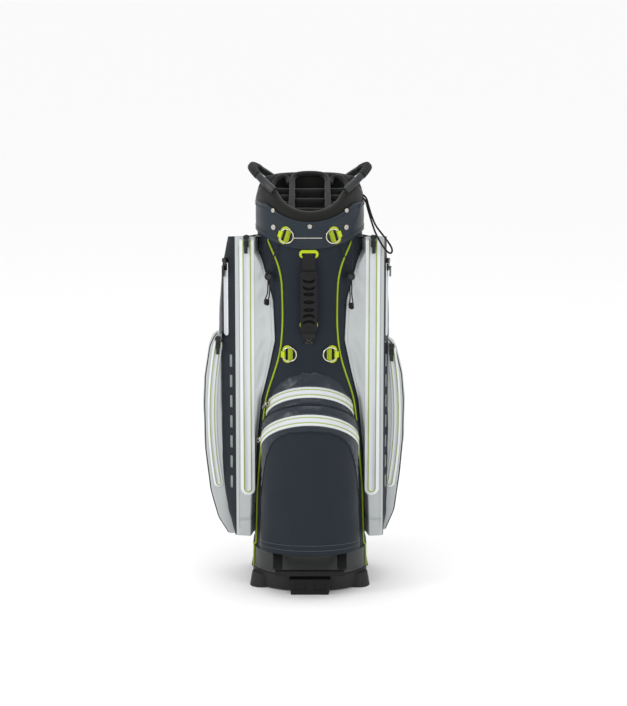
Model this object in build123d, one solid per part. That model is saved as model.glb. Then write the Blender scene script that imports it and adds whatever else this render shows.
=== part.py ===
from build123d import *
import math
import os

# Golf cart bag. Millimetres, +Z up, origin at the centre of the underside of the base.
# The front of the bag (carry handle, ball pocket) faces -Y, +X is the viewer's right.

# --- driving dimensions -------------------------------------------------------------
TUBE_BOTTOM = (240.0, 246.0, 96.0)      # width, depth, corner radius at the base
TUBE_TOP = (218.0, 236.0, 90.0)         # the same at the top ring
TUBE_Z = (35.0, 780.0)                  # the tube's lower and upper ends
TUBE_WALL = 3.0
RING_WALL = 8.0                         # moulded top ring
RIM_FRONT_Z = 815.0                     # lowest point of the padded rim, at the front
RIM_TOP_Z = 867.0                       # rim at the handle feet and the back
RIM_DIP_HALF = 86.0                     # half width of the dip in the front rim
WINDOW_Z = 842.0                        # rim under the side handles
PAD_INNER = (180.0, 198.0, 72.0)        # clear mouth inside the padded rim
PAD_CAP = 14.0                          # padding over the ring's top edge
LINING_Z = 768.0                        # lower end of the padded lining
COLLAR_WALL = 4.0
COLLAR_BOTTOM = (738.0, 767.0)          # lower edge at the front centre, at the sides
COLLAR_TOP = (794.0, 829.0)             # upper edge at the front centre, at the sides
BAND_TOP_Z = 82.0
BASE_HEIGHT = 35.0
FLOOR = 3.0
WELL_X = 36.0                           # long divider walls
WELL_WALL = 4.0
HANDLE_FOOT = (84.0, 89.0, 864.0)       # where a side handle leaves the ring
HANDLE_RISE = (37.0, 30.0)              # how far its apex stands out and up
GRIP_GAP = 16.0                         # finger room behind the front carry handle
GRIP_Z = (566.0, 693.0)                 # ends of the front carry grip
GRIP_WIDTH = 35.0
FACE_INNER = (100.0, 84.0)              # |x|, |y| of the side pocket's inner front edge
FACE_OUTER = (155.0, 74.0)              # |x|, |y| of its outer front edge
ZIP_X = 132.0                           # side pocket zip
ZIP_Z = (215.0, 743.0)                  # lower end and the parked slider
TAPE = 1.2                              # zip tape thickness
ARC_TILT = 40.0                         # tilt of the two front zips, rising forwards
UPPER_ARC = (92.0, -75.4, 379.9)        # radius, centre y, centre z
LOWER_ARC = (102.0, -109.9, 323.4)
BAND_HALF = 13.0                        # half width of the leaning band round a front zip
BAND_STEP = 0.4                         # how far the band stands over the wall below it
LOWER_SEAM = 37.0                       # from the lower zip's plane to the seam over it
UPPER_SEAM = 28.3                       # from that seam to the upper zip's plane
DOME_LEAN = 22.0                        # lean of the wall over the upper zip
PARKED = {"front_upper": 23.0, "front_lower": 4.0}   # where a front slider rests on its arc
BALL_POCKET_Z = 98.0
GUSSET_Y = -38.0                        # front gusset of the outer side pockets
GUSSET_ARC = 880.0                      # radius of the zip on that gusset
RING_R = 14.7                           # accessory ring, wire centre line
RING_WIRE = 1.3                         # wire radius
CORD_R = 1.3                            # shock cord
LOOP_R = 2.0                            # towel loop
GAP = 0.4                               # running clearance round loose pieces

os.makedirs("parts", exist_ok=True)


def save(name, *solids):
    """Write one node, as one solid or as a group of separate solids."""
    shapes = [s for piece in solids for s in piece.solids()]
    whole = shapes[0] if len(shapes) == 1 else Compound(children=shapes)
    export_step(whole, f"parts/{name}.step")


def size_at(z):
    """Width, depth and corner radius of the tapering tube at height z."""
    t = (z - TUBE_Z[0]) / (TUBE_Z[1] - TUBE_Z[0])
    return [a + (b - a) * t for a, b in zip(TUBE_BOTTOM, TUBE_TOP)]


def section(size, z, grow=0.0):
    """Rounded rectangle at height z, grown outwards by a distance."""
    w, d, r = size
    return Pos(0, 0, z) * RectangleRounded(w + 2 * grow, d + 2 * grow, r + grow)


def prism(size, z0, z1, grow=0.0):
    return extrude(section(size, z0, grow), z1 - z0)


def tube_solid(grow, z0=TUBE_Z[0], z1=TUBE_Z[1]):
    """The tapering tube as a full solid, grown by a distance."""
    return loft([section(size_at(z0), z0, grow), section(size_at(z1), z1, grow)], ruled=True)


def surface(size, x, z, out=0.0, side=1.0):
    """Plane on the front corner (y < 0) of a rounded rectangle at a given x:
    x_dir runs to the viewer's right along the surface, z_dir points outwards."""
    w, d, r = size
    cx, cy = w / 2 - r, d / 2 - r
    dx = max(abs(x) - cx, 0.0)
    dy = math.sqrt(max(r * r - dx * dx, 0.0))
    sign = math.copysign(1.0, x)
    normal = Vector(sign * dx / r, -dy / r, 0)
    point = Vector(x, -(cy + dy), z) + normal * out
    return Plane(origin=point, x_dir=(-normal.Y, normal.X, 0), z_dir=normal)


def block(plane, u, v, w, centre=(0.0, 0.0, 0.0)):
    """Box of size u, v, w on a plane, its lower face at centre's w."""
    cu, cv, cw = centre
    return plane * Pos(cu, cv, cw + w / 2) * Box(u, v, w)


def flip(shape):
    """The same piece on the other side of the bag."""
    return mirror(shape, about=Plane.YZ)


def across_y(face_xz, y0, y1):
    """Extrude an outline drawn as (x, z) between two values of y."""
    return extrude(Plane(origin=(0, y1, 0), x_dir=(1, 0, 0), z_dir=(0, -1, 0)) * face_xz, y1 - y0)


def across_x(face_yz, x0, x1):
    """Extrude an outline drawn as (y, z) between two values of x."""
    return extrude(Plane(origin=(x0, 0, 0), x_dir=(0, 1, 0), z_dir=(1, 0, 0)) * face_yz, x1 - x0)


def polygon(points):
    return make_face(Polyline(*points, close=True))


# --- base ---------------------------------------------------------------------------
def base_moulding():
    """Rubber tray with four flared corner feet and a flat pad under its centre."""
    outer = prism((246, 254, 98), 3, BASE_HEIGHT)
    hollow = prism(TUBE_BOTTOM, 10, BASE_HEIGHT, grow=-13)
    tray = outer - hollow
    for sx in (-1, 1):
        for sy in (-1, 1):
            foot = Pos(sx * 103, sy * 74, 15) * Cone(26, 21, 30)
            tray += foot - hollow
    tray += Pos(0, 0, 3.5) * Cylinder(40, 7)
    return tray


def base_front_foot():
    """Tab that the bag tilts on, standing out in front of the tray."""
    outline = polygon([(-40, 0), (40, 0), (44, 34), (-44, 34)])
    tab = across_y(outline, -152, -110) - prism((246, 254, 98), 0, 60)
    grooves = [Pos(s * 21, -152, 18) * Box(26, 4, 16) for s in (-1, 1)]
    return tab - grooves


def base_band():
    """Moulded boot round the foot of the tube."""
    z1 = BAND_TOP_Z
    return tube_solid(2.5, BASE_HEIGHT, z1) - tube_solid(0.0, BASE_HEIGHT, z1)


# --- tube, ring and dividers --------------------------------------------------------
def body_shell():
    return tube_solid(0.0) - tube_solid(-TUBE_WALL)


def above_rim(lower=0.0):
    """Everything over the rim line, lowered by a distance: the front dip, the back and
    the windows under the side handles."""
    top, dip, half = RIM_TOP_Z - lower, RIM_FRONT_Z - lower, RIM_DIP_HALF
    arc = ThreePointArc((-half, top), (0, dip), (half, top))
    edge = Polyline((half, top), (200, top), (200, 960), (-200, 960), (-200, top), (-half, top))
    front = across_y(make_face(arc + edge), -200, -10)
    back = Pos(0, 100, top + 50) * Box(400, 220, 100)
    window = [Pos(s * 150, 0, WINDOW_Z - lower + 60) * Box(130, 116, 120) for s in (-1, 1)]
    return front + back + window


def ring_body():
    ring = prism(TUBE_TOP, TUBE_Z[1], 900) - prism(TUBE_TOP, TUBE_Z[1], 900, grow=-RING_WALL)
    return ring - above_rim(PAD_CAP)


def rim_pad(ring):
    """Padded roll over the ring, with a lining that reaches into the tube."""
    z0, z1 = LINING_Z, TUBE_Z[1]
    lining = prism(TUBE_TOP, z0, z1, grow=-TUBE_WALL - GAP) - prism(PAD_INNER, z0, z1)
    roll = prism(TUBE_TOP, z1, 900) - prism(PAD_INNER, z1, 900) - above_rim()
    return lining + (roll - ring)


def divider_walls():
    """Fourteen full-length wells: four in the middle row, five on each side."""
    inside = tube_solid(-TUBE_WALL - GAP, TUBE_Z[0], LINING_Z - GAP)
    inside = inside - Pos(0, 0, TUBE_Z[0]) * Box(300, 300, 2 * (FLOOR + GAP))
    inside = inside + prism(PAD_INNER, LINING_Z - GAP, 900, grow=-GAP)
    slope = across_x(polygon([(-130, 792), (130, 866), (130, 960), (-130, 960)]), -150, 150)
    inside = inside - slope
    walls = []
    for s in (-1, 1):
        walls.append(Pos(s * WELL_X, 0, 450) * Box(WELL_WALL, 260, 900) & inside)
    clear = WELL_X - WELL_WALL / 2 - 0.2
    for y in (-49.5, 0.0, 49.5):
        walls.append(Pos(0, y, 450) * Box(2 * clear, WELL_WALL, 900) & inside)
    reach = WELL_X + WELL_WALL / 2 + 0.2
    for s in (-1, 1):
        for y in (-51.0, -17.0, 17.0, 51.0):
            wall = Pos(s * (reach + 40), y, 450) * Box(80, WELL_WALL, 900)
            walls.append(wall & inside)
    return walls


def frame_stays():
    """Four spring rods in the corners of the tube, from the floor to the ring."""
    rods = []
    for sx in (-1, 1):
        for sy in (-1, 1):
            z0, z1 = BASE_HEIGHT + FLOOR + GAP, LINING_Z - GAP
            rods.append(Pos(sx * 79.0, sy * 85.0, (z0 + z1) / 2) * Cylinder(2.5, z1 - z0))
    return rods


def handle_path(half_angle):
    """Arc of the side handle on the left, centred on its apex."""
    foot_x, foot_y, foot_z = HANDLE_FOOT
    out = math.hypot(*HANDLE_RISE)
    radius = (foot_y ** 2 + out ** 2) / (2 * out)
    e = Vector(-HANDLE_RISE[0], 0, HANDLE_RISE[1]).normalized()
    centre = Vector(-foot_x, 0, foot_z) + e * (out - radius)
    plane = Plane(origin=centre, x_dir=e, z_dir=e.cross(Vector(0, 1, 0)))
    return plane, plane * CenterArc((0, 0), radius, -half_angle, 2 * half_angle)


def bow(half_angle, width, height, radius):
    plane, path = handle_path(half_angle)
    start = Plane(origin=path @ 0, x_dir=plane.z_dir, z_dir=path % 0)
    return sweep(start * RectangleRounded(height, width, radius), path)


def side_handles(ring, pad):
    left = bow(64, 13, 15, 5) - ring - pad
    left = max(left.solids(), key=lambda s: s.volume)
    return [left, flip(left)]


def handle_sleeves():
    sleeve = bow(35, 18, 20, 7) - bow(38, 13 + GAP, 15 + GAP, 5)
    return [sleeve, flip(sleeve)]


# --- collar -------------------------------------------------------------------------
def collar_size():
    w, d, r = TUBE_TOP
    return w + 2 + 2 * COLLAR_WALL, d + 2 + 2 * COLLAR_WALL, r + 1 + COLLAR_WALL


def collar_edge(mid, side, half, z_far):
    """Solid beyond one edge of the collar; the edge is an arc over the front."""
    arc = ThreePointArc((-half, side), (0, mid), (half, side))
    rest = Polyline((half, side), (200, side), (200, z_far), (-200, z_far), (-200, side),
                    (-half, side))
    front = across_y(make_face(arc + rest), -200, 0)
    z0, z1 = min(side, z_far), max(side, z_far)
    back = Pos(0, 100, (z0 + z1) / 2) * Box(400, 200, z1 - z0)
    return front + back


def collar():
    size = collar_size()
    band = prism(size, 700, 860) - prism(size, 700, 860, grow=-COLLAR_WALL)
    band -= collar_edge(COLLAR_BOTTOM[0], COLLAR_BOTTOM[1], 112, 690)
    return band - collar_edge(COLLAR_TOP[0], COLLAR_TOP[1], 90, 880)


def studs(places, radius, head):
    """Domed heads standing on the collar."""
    heads = []
    for x, z in places:
        plane = surface(collar_size(), x, z)
        dome = plane * Pos(0, 0, head / 2) * Cylinder(radius, head)
        heads.append(fillet(dome.edges().group_by(SortBy.LENGTH)[-1].sort_by_distance(
            (plane.origin + plane.z_dir * 50))[0], head * 0.45))
    return heads


# --- accessory rings ----------------------------------------------------------------
def ring_plane(x, z, size, lean):
    """Plane of an anchor on the left; the ring's centre is its origin."""
    flat = surface(size, x, z)
    t = math.radians(lean)
    x_dir = flat.x_dir * math.cos(t) + flat.y_dir * math.sin(t)
    return Plane(origin=flat.origin, x_dir=x_dir, z_dir=flat.z_dir)


def anchor(plane):
    """Oval tab with a webbing slot and a bridge that the ring turns in."""
    tab = extrude(plane * Pos(-5, 0, 0.2) * RectangleRounded(22, 37, 10.9), 2.1)
    tab -= block(plane, 5.6, 24, 6, (-6.6, 0, -1))
    bridge = block(plane, 7.8, 13, 5.4, (-14.0, 0, 2.3))
    bridge -= block(plane, 5.4, 20, 4.4, (-14.0, 0, 2.3 - 0.01))
    return tab + bridge


def anchor_webbing(plane):
    return block(plane, 5.0, 22, 2.6, (-6.6, 0, 0.3))


def accessory_ring(plane):
    return plane * Pos(0, 0, 4.5) * Torus(RING_R, RING_WIRE)


# --- front carry handle -------------------------------------------------------------
def front_y(z):
    return -size_at(z)[1] / 2


def lime_loops():
    """Two oval frames that the handle's webbing is sewn through."""
    loops = []
    for z, w in ((727.0, 40.0), (578.0, 38.0)):
        plane = Plane(origin=(-2, front_y(z) - 0.3, z), x_dir=(1, 0, 0), z_dir=(0, -1, 0))
        frame = extrude(plane * RectangleRounded(w, 17, 8), 2.6)
        loops.append(frame - block(plane, 29, 6.0, 9, (0, -1.0, -2)))
    return loops


def handle_strap():
    """Webbing from the top frame, out over the finger room and back to its stitched end."""
    y0, out = front_y(640), front_y(640) - GRIP_GAP
    line = FilletPolyline(
        (y0 - 1.9, 726.0), (y0 - 5.6, 722), (out, 700), (out, 562), (y0 - 2.2, 552), (y0 - 2.2, 536),
        radius=[3, 12, 8, 6])
    strap = across_x(make_face(trace(line, 2.0)), -15, 11)
    return strap


def carry_grip():
    """Flexible rubber grip with seven cut-outs, in front of the webbing."""
    y = front_y(640) - GRIP_GAP - 1.0 - 0.1
    mid = sum(GRIP_Z) / 2
    plane = Plane(origin=(-2, y, mid), x_dir=(1, 0, 0), z_dir=(0, -1, 0))
    outline = RectangleRounded(GRIP_WIDTH, GRIP_Z[1] - GRIP_Z[0], 5)
    for v in (-16.5, 0.0, 16.5):
        outline -= Pos(0, v) * Ellipse(11.5, 4.2)
    for v, s in ((32.0, 1), (47.0, 1), (-32.0, -1), (-45.0, -1)):
        crescent = Pos(0, v) * Ellipse(12.5, 7.5) - Pos(0, v + s * 6.0) * Ellipse(14.0, 7.5)
        outline -= crescent
    grip = extrude(plane * outline, 6.0)
    for v in (-56.5, 56.5):
        grip += extrude(plane * Pos(0, v, 6.0) * Ellipse(6.5, 3.4), 1.2)
    return grip


# --- front pockets ------------------------------------------------------------------
def arc_plane(arc, above=0.0):
    """Plane parallel to a front zip's: z_dir is the arc's axis, up and back, and y_dir
    points down and back."""
    _, y, z = arc
    t = math.radians(ARC_TILT)
    axis = Vector(0, math.sin(t), math.cos(t))
    return Plane(origin=Vector(0, y, z) + axis * above, x_dir=(1, 0, 0), z_dir=axis)


def arc_outline(radius, back=120.0):
    """Half circle in front with straight sides back into the tube."""
    return Circle(radius) + Pos(0, back / 2) * Rectangle(2 * radius, back)


def tilted(arc, lower, upper, grow=0.0):
    """The pocket's outline at its zip, drawn out along the arc's axis."""
    return extrude(arc_plane(arc, lower) * arc_outline(arc[0] + grow), upper - lower)


def upright(arc, z0, grow=0.0):
    """Upright walls under the leaning band, set back by the thickness of its seam."""
    radius, y, _ = arc
    grow -= BAND_STEP
    y -= BAND_HALF * math.sin(math.radians(ARC_TILT))
    a, b = radius + grow, radius * math.cos(math.radians(ARC_TILT)) + grow
    plan = Pos(0, y) * Ellipse(a, b) + Pos(0, y + 35) * Rectangle(2 * a, 70)
    above = extrude(arc_plane(arc, -BAND_HALF) * Rectangle(500, 500), 400)
    return extrude(Pos(0, 0, z0) * plan, 400) - above


def lower_pocket_parts(grow=0.0, overlap=0.0):
    return [upright(LOWER_ARC, BALL_POCKET_Z - grow, grow),
            tilted(LOWER_ARC, -BAND_HALF - overlap, LOWER_SEAM + grow, grow)]


def upper_pocket_parts(grow=0.0, overlap=0.0):
    t = math.radians(DOME_LEAN)
    outline = arc_plane(UPPER_ARC, BAND_HALF - overlap) * arc_outline(UPPER_ARC[0] + grow, 60.0)
    return [tilted(UPPER_ARC, -UPPER_SEAM - grow, BAND_HALF, grow),
            extrude(outline, 90, dir=(0, math.sin(t), math.cos(t)))]


def front_pocket(parts, wall=3.0):
    """Closed fabric pocket sewn to the tube."""
    lower, upper = parts()
    pocket = lower + upper - tube_solid(0.1)
    for void in parts(-wall, overlap=2.0):
        pocket -= void - tube_solid(wall)
    return pocket


def arc_tape(arc, half=12.5):
    """Zip tape on the leaning band, either side of the zip's plane."""
    band = tilted(arc, -half, half, TAPE) - tilted(arc, -half - 1, half + 1, 0.05)
    front = arc_plane(arc) * Pos(0, -194, 0) * Box(400, 400, 400)
    return (band & front) - tube_solid(0.3)


# --- side pockets -------------------------------------------------------------------
# Outlines from the front, (|x|, z), and plans from above, (|x|, y).
LEFT_SIDE = [(30, 757), (171, 757), (184, 691), (192, 604), (196, 540), (196, 400), (190, 260),
             (176, 160), (160, 109), (30, 112)]
LEFT_PLAN = [(60, -84), (100, -84), (155, -74), (188, -40), (195, 0),
             (194, 45), (172, 80), (110, 95), (60, 98)]
RIGHT_SIDE = [(30, 757), (161, 757), (163, 691), (168, 604), (171, 540), (171, 400), (170, 260),
              (167, 160), (157, 109), (30, 112)]
RIGHT_PLAN = [(60, -84), (100, -84), (155, -74), (166, -40), (170, 0), (169, 45), (150, 80),
              (110, 95), (60, 98)]
SIDE_DEPTH = [(-100, 765), (-74, 757), (96, 712), (96, 140), (70, 108), (-100, 108)]
LEFT_OUTER = [(150, 548), (199, 545), (216, 515), (226, 450), (228, 390), (226, 290), (216, 200),
              (200, 140), (178, 104), (150, 108)]
RIGHT_OUTER = [(140, 534), (170, 532), (187, 505), (199, 455), (203, 400), (202, 320), (195, 235),
               (184, 155), (166, 112), (140, 112)]
LEFT_OUTER_PLAN = [(140, -38), (224, -38), (229, -15), (229, 30), (216, 60), (190, 72), (140, 74)]
RIGHT_OUTER_PLAN = [(120, -38), (199, -38), (204, -15), (204, 30), (192, 60), (168, 72), (120, 74)]
OUTER_DEPTH = [(-60, 560), (60, 520), (76, 480), (76, 180), (50, 100), (-60, 100)]


def pocket_form(side, plan, depth, sign, inset=0.0):
    """Common solid of a plan, a front outline and a side outline, on one side."""
    faces = [polygon([(sign * a, b) for a, b in side]), polygon([(sign * a, b) for a, b in plan]),
             polygon(depth)]
    if inset:
        faces = [offset(f, amount=-inset, kind=Kind.INTERSECTION) for f in faces]
    front = across_y(faces[0], -150, 150)
    top = extrude(Pos(0, 0, 50) * faces[1], 760)
    return front & top & across_x(faces[2], -260, 260)


def side_pocket(side, plan, sign, wall=3.0):
    outer = pocket_form(side, plan, SIDE_DEPTH, sign) - tube_solid(0.1)
    outer -= prism(collar_size(), 735, 900, grow=0.3)
    for part in lower_pocket_parts(TAPE + 0.3) + upper_pocket_parts(TAPE + 0.3):
        outer -= part
    return outer - (pocket_form(side, plan, SIDE_DEPTH, sign, wall) - tube_solid(wall))


def outer_pocket(side, plan, inner_side, inner_plan, sign, wall=3.0):
    """Pocket sewn on the outside of a side pocket."""
    host = pocket_form(inner_side, inner_plan, SIDE_DEPTH, sign)
    outer = pocket_form(side, plan, OUTER_DEPTH, sign) - host - tube_solid(0.1)
    room = pocket_form(side, plan, OUTER_DEPTH, sign, wall)
    inner = room - host - Pos(sign * wall, 0, 0) * host - tube_solid(wall)
    outer = max(outer.solids(), key=lambda s: s.volume)
    return outer - inner


# --- zips ---------------------------------------------------------------------------
def face_plane(sign, z):
    """Plane of the side pocket's front face at its zip."""
    dx, dy = FACE_OUTER[0] - FACE_INNER[0], FACE_INNER[1] - FACE_OUTER[1]
    length = math.hypot(dx, dy)
    y = -(FACE_INNER[1] - dy * (ZIP_X - FACE_INNER[0]) / dx)
    normal = Vector(-dy / length * -sign, -dx / length, 0)
    return Plane(origin=(sign * ZIP_X, y, z), x_dir=(-normal.Y, normal.X, 0), z_dir=normal)


def panel_plane(plan, sign, x, z):
    """Plane of the side pocket's slanted outer panel at a given |x|."""
    (x0, y0), (x1, y1) = plan[2], plan[3]
    length = math.hypot(x1 - x0, y1 - y0)
    y = y0 + (y1 - y0) * (x - x0) / (x1 - x0)
    normal = Vector(sign * (y1 - y0) / length, -(x1 - x0) / length, 0)
    return Plane(origin=(sign * x, y, z), x_dir=(-normal.Y, normal.X, 0), z_dir=normal)


def slider_solid(plane, base):
    """Zip slider: body and the bar that its pull hangs from."""
    body = plane * Pos(0, 0, base + 2.2) * Box(10, 14, 4.4)
    posts = [block(plane, 1.4, 2.4, 4.0, (s * 3.6, 0, base + 4.4)) for s in (-1, 1)]
    bar = plane * Pos(0, 0, base + 7.2) * Rot(0, 90, 0) * Cylinder(0.9, 8.0)
    return body + posts + bar


def pull_solid(plane, base, length=20.0):
    """Pull tab with an eye round the slider's bar."""
    centre = plane * Pos(0, 0, base + 7.2)
    eye = centre * Rot(0, 90, 0) * Cylinder(2.1, 5.0)
    tab = centre * Pos(0, -length / 2 - 1.5, 0) * Box(7.5, length - 3, 2.0)
    neck = centre * Pos(0, -3, 0) * Box(4.0, 4, 2.0)
    return eye + tab + neck - centre * Rot(0, 90, 0) * Cylinder(1.15, 12.0)


def face_tape(sign):
    """Tape of the side pocket's front zip."""
    plane = face_plane(sign, (ZIP_Z[0] + ZIP_Z[1]) / 2)
    return block(plane, 36, ZIP_Z[1] - ZIP_Z[0] + 20, TAPE, (0, 0, 0.05))


def gusset_centre(sign):
    """Centre of the arc that an outer pocket's zip follows, as (x, z)."""
    x = 209.0 if sign < 0 else 185.0
    return sign * (x - GUSSET_ARC), 365.0


def gusset_tape(sign, host):
    """Tape of the outer pocket's zip, an arc on its front gusset."""
    cx, cz = gusset_centre(sign)
    ring = Circle(GUSSET_ARC + 12) - Circle(GUSSET_ARC - 12)
    window = Pos(sign * GUSSET_ARC, 0) * Rectangle(120, 330)
    face = Pos(cx, cz) * (ring & window)
    return across_y(face, GUSSET_Y - TAPE - 0.05, GUSSET_Y - 0.05) - host


def gusset_plane(sign, z):
    """Plane on the outer pocket's gusset at height z on its zip."""
    cx, cz = gusset_centre(sign)
    x = cx + sign * math.sqrt(GUSSET_ARC ** 2 - (z - cz) ** 2)
    return Plane(origin=(x, GUSSET_Y, z), x_dir=(1, 0, 0), z_dir=(0, -1, 0))


def front_zip_plane(name, arc):
    """Plane of a parked front slider: y_dir runs forwards along the zip."""
    radius, y, z = arc
    turn, t = math.radians(PARKED[name]), math.radians(ARC_TILT)
    normal = Vector(-math.cos(turn), -math.cos(t) * math.sin(turn), math.sin(t) * math.sin(turn))
    return Plane(origin=Vector(0, y, z) + normal * radius,
                 x_dir=(0, -math.sin(t), -math.cos(t)), z_dir=normal)


def garage(plane, base):
    """Moulded cap that a parked slider sits under."""
    cap = extrude(plane * Pos(0, 13.5, base) * RectangleRounded(12, 11, 5), 5.5)
    return cap


# --- lift handle --------------------------------------------------------------------
LIFT_HINGE = (-129.0, 88.0)             # y, z of the sewn ends
LIFT_GRIP = (-165.0, 52.0)              # y, z of the grip's centre


def lift_straps():
    y0, z0 = LIFT_HINGE
    y1, z1 = LIFT_GRIP
    line = FilletPolyline((y0, z0), (y0 - 5, z0 - 2), (y1 + 5, z1 + 8), (y1, z1 + 6.4), radius=[4, 2.4])
    return [across_x(make_face(trace(line, 2.0)), s * 68 - 10, s * 68 + 10) for s in (-1, 1)]


def lift_grip():
    """Perforated rubber grip between the two straps."""
    y, z = LIFT_GRIP
    bar = Pos(0, y, z) * Box(146, 11, 10.5)
    holes = [Pos(-60 + 12 * i, y, z) * Box(6, 4, 30) for i in range(11)]
    return bar - holes


# --- shock cords, their locks and the towel loop ------------------------------------
LOCK = (85.5, -107.5, 679.0)            # centre of a cord lock, |x|
STRAND = 1.8                            # half the spacing of the two strands in the lock
LEFT_CORD = [(-91, -88.6, 756.5), (-91.5, -94, 740), (-89.5, -100.5, 721), (-87.6, -106.3, 704),
             (-87.3, -107.5, 690), (-87.3, -107.5, 643), (-92.5, -108, 633), (-94, -108.5, 624),
             (-91.3, -108.5, 618), (-87.3, -108.5, 620), (-86.6, -108.5, 630), (-83.7, -107.5, 642),
             (-83.7, -107.5, 690), (-80.5, -108.5, 706), (-73.5, -110.5, 724), (-68, -112, 737),
             (-66.3, -108.6, 748.0)]
RIGHT_CORD = [(88, -91.2, 755.3), (88.6, -96.5, 740), (88.2, -102, 721), (87.4, -106.3, 704),
              (87.3, -107.5, 690), (87.3, -107.5, 643), (88.4, -108, 633), (90.4, -108.5, 621),
              (88.5, -108.5, 612), (84, -108.5, 612.5), (82.4, -108.5, 621), (84.4, -108, 632),
              (83.7, -107.5, 642), (83.7, -107.5, 690), (80, -108.5, 706), (71.5, -111, 724),
              (65, -113, 736), (62.4, -111, 746.5)]
TOWEL_CORD = [(109.5, -43, 834.5), (117, -45, 831), (120.5, -53, 815), (125.5, -65, 799),
              (130, -76, 785), (135.5, -87, 769), (145, -93, 751), (154, -94, 737),
              (162, -94, 727), (169, -94, 724), (172.5, -94, 730), (168.5, -94, 741),
              (159, -94, 754), (148, -92, 768), (138, -83.5, 780), (132.5, -73.5, 791),
              (127.5, -63, 804), (122.5, -52, 820), (118.5, -41, 836), (109.5, -38, 841)]


def cord_line(points):
    """Straight runs joined by tangent arcs as large as the runs allow."""
    radii = []
    for a, b, c in zip(points, points[1:], points[2:]):
        before, after = Vector(*b) - Vector(*a), Vector(*c) - Vector(*b)
        turn = math.radians(before.get_angle(after))
        radii.append(0.45 * min(before.length, after.length) / math.tan(turn / 2))
    print("cord radii", [round(r, 1) for r in radii])
    return FilletPolyline(*points, radius=radii)


def cord(name, points, radius):
    line = cord_line(points)
    tube = sweep(Plane(origin=line @ 0, z_dir=line % 0) * Circle(radius), line)
    print(name, "length", round(line.length, 1), "volume ratio",
          round(tube.volume / (math.pi * radius ** 2 * line.length), 4))
    save(name, tube)


def cord_lock(sign):
    """Barrel with a blind bore for its button and one oblong hole for both strands."""
    x, y, z = LOCK
    axis = Pos(sign * x, y, z) * Rot(90, 0, 0)
    body = axis * Cylinder(8.5, 15)
    body -= axis * Pos(0, 0, 1.5) * Cylinder(5.6, 15)
    slot = Pos(sign * x, y, z) * Box(2 * (STRAND + CORD_R + 0.6), 2 * (CORD_R + 0.5), 30)
    return body - slot


def lock_button(sign):
    """Plunger, pressed towards the bag to free the cord."""
    x, y, z = LOCK
    axis = Pos(sign * x, y, z) * Rot(90, 0, 0)
    stem = axis * Pos(0, 0, 4.25) * Cylinder(5.2, 13.5)
    fork = Pos(sign * x, y + 1.5, z) * Box(2 * (STRAND + CORD_R + 0.6), 13.0, 30)
    return stem - fork


def knot(x, y, z, radius, length):
    return Pos(x, y, z) * Sphere(radius) & Pos(x, y, z) * Box(20, 20, length)


# --- shoulder strap -----------------------------------------------------------------
def shoulder_strap():
    """Padded strap and its webbing tails, clipped to the back of the tube."""
    y = size_at(500)[1] / 2 + 1.5
    pad = FilletPolyline((y + 6, 690), (y + 16, 650), (y + 16, 400), (y + 6, 350), radius=[40, 40])
    top = FilletPolyline((y + 0.6, 735), (y + 3, 715), (y + 5.4, 692), radius=[10])
    low = FilletPolyline((y + 5.6, 348), (y + 3.4, 300), (y + 1.6, 250), radius=[20])
    return [across_x(make_face(trace(pad, 9.0)), -29, 29),
            across_x(make_face(trace(top, 2.4)), -19, 19),
            across_x(make_face(trace(low, 2.4)), -19, 19)]


# --- build --------------------------------------------------------------------------
def build_structure():
    save("base_moulding", base_moulding())
    save("base_front_foot", base_front_foot())
    save("base_floor", prism(size_at(BASE_HEIGHT), BASE_HEIGHT, BASE_HEIGHT + FLOOR,
                             grow=-TUBE_WALL - GAP))
    save("base_band", base_band())
    save("body_shell", body_shell())
    save("frame_stays", *frame_stays())
    ring = ring_body()
    pad = rim_pad(ring)
    save("top_ring", ring)
    save("rim_pad", pad)
    save("side_handles", *side_handles(ring, pad))
    save("handle_sleeves", *handle_sleeves())
    save("divider_walls", *divider_walls())
    save("collar", collar())
    save("collar_rivets", *studs([(0, 785), (-76, 816), (76, 816), (-113.5, 824), (113.5, 824)], 4.6, 1.8))
    save("collar_screws", *studs([(-75, 781), (75, 781)], 5.6, 2.4))


def build_rings():
    tabs, straps = [], []
    for level, x, z, size, lean in (("upper", 47.0, 765.0, collar_size(), -17.0),
                                    ("lower", 41.5, 515.0, size_at(515), 0.0)):
        plane = ring_plane(-x, z, size, lean)
        ring = accessory_ring(plane)
        save(f"{level}_left_ring", ring)
        save(f"{level}_right_ring", flip(ring))
        tabs += [anchor(plane), flip(anchor(plane))]
        straps += [anchor_webbing(plane), flip(anchor_webbing(plane))]
        axis = plane.origin - plane.x_dir * 14.0 + plane.z_dir * 4.5
        print(level, "ring hinge", axis, "axis", plane.y_dir)
    save("ring_tabs", *tabs)
    save("ring_webbing", *straps)


def build_front():
    save("front_handle_loops", *lime_loops())
    save("front_handle_webbing", handle_strap())
    save("front_handle_grip", carry_grip())
    save("front_lower_pocket", front_pocket(lower_pocket_parts))
    save("front_upper_pocket", front_pocket(upper_pocket_parts))
    save("front_zip_tapes", arc_tape(UPPER_ARC), arc_tape(LOWER_ARC))
    for name, arc in (("front_upper", UPPER_ARC), ("front_lower", LOWER_ARC)):
        plane = front_zip_plane(name, arc)
        save(f"{name}_slider", slider_solid(plane, TAPE + GAP))
        save(f"{name}_pull", pull_solid(plane, TAPE + GAP, 18.0))


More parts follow.
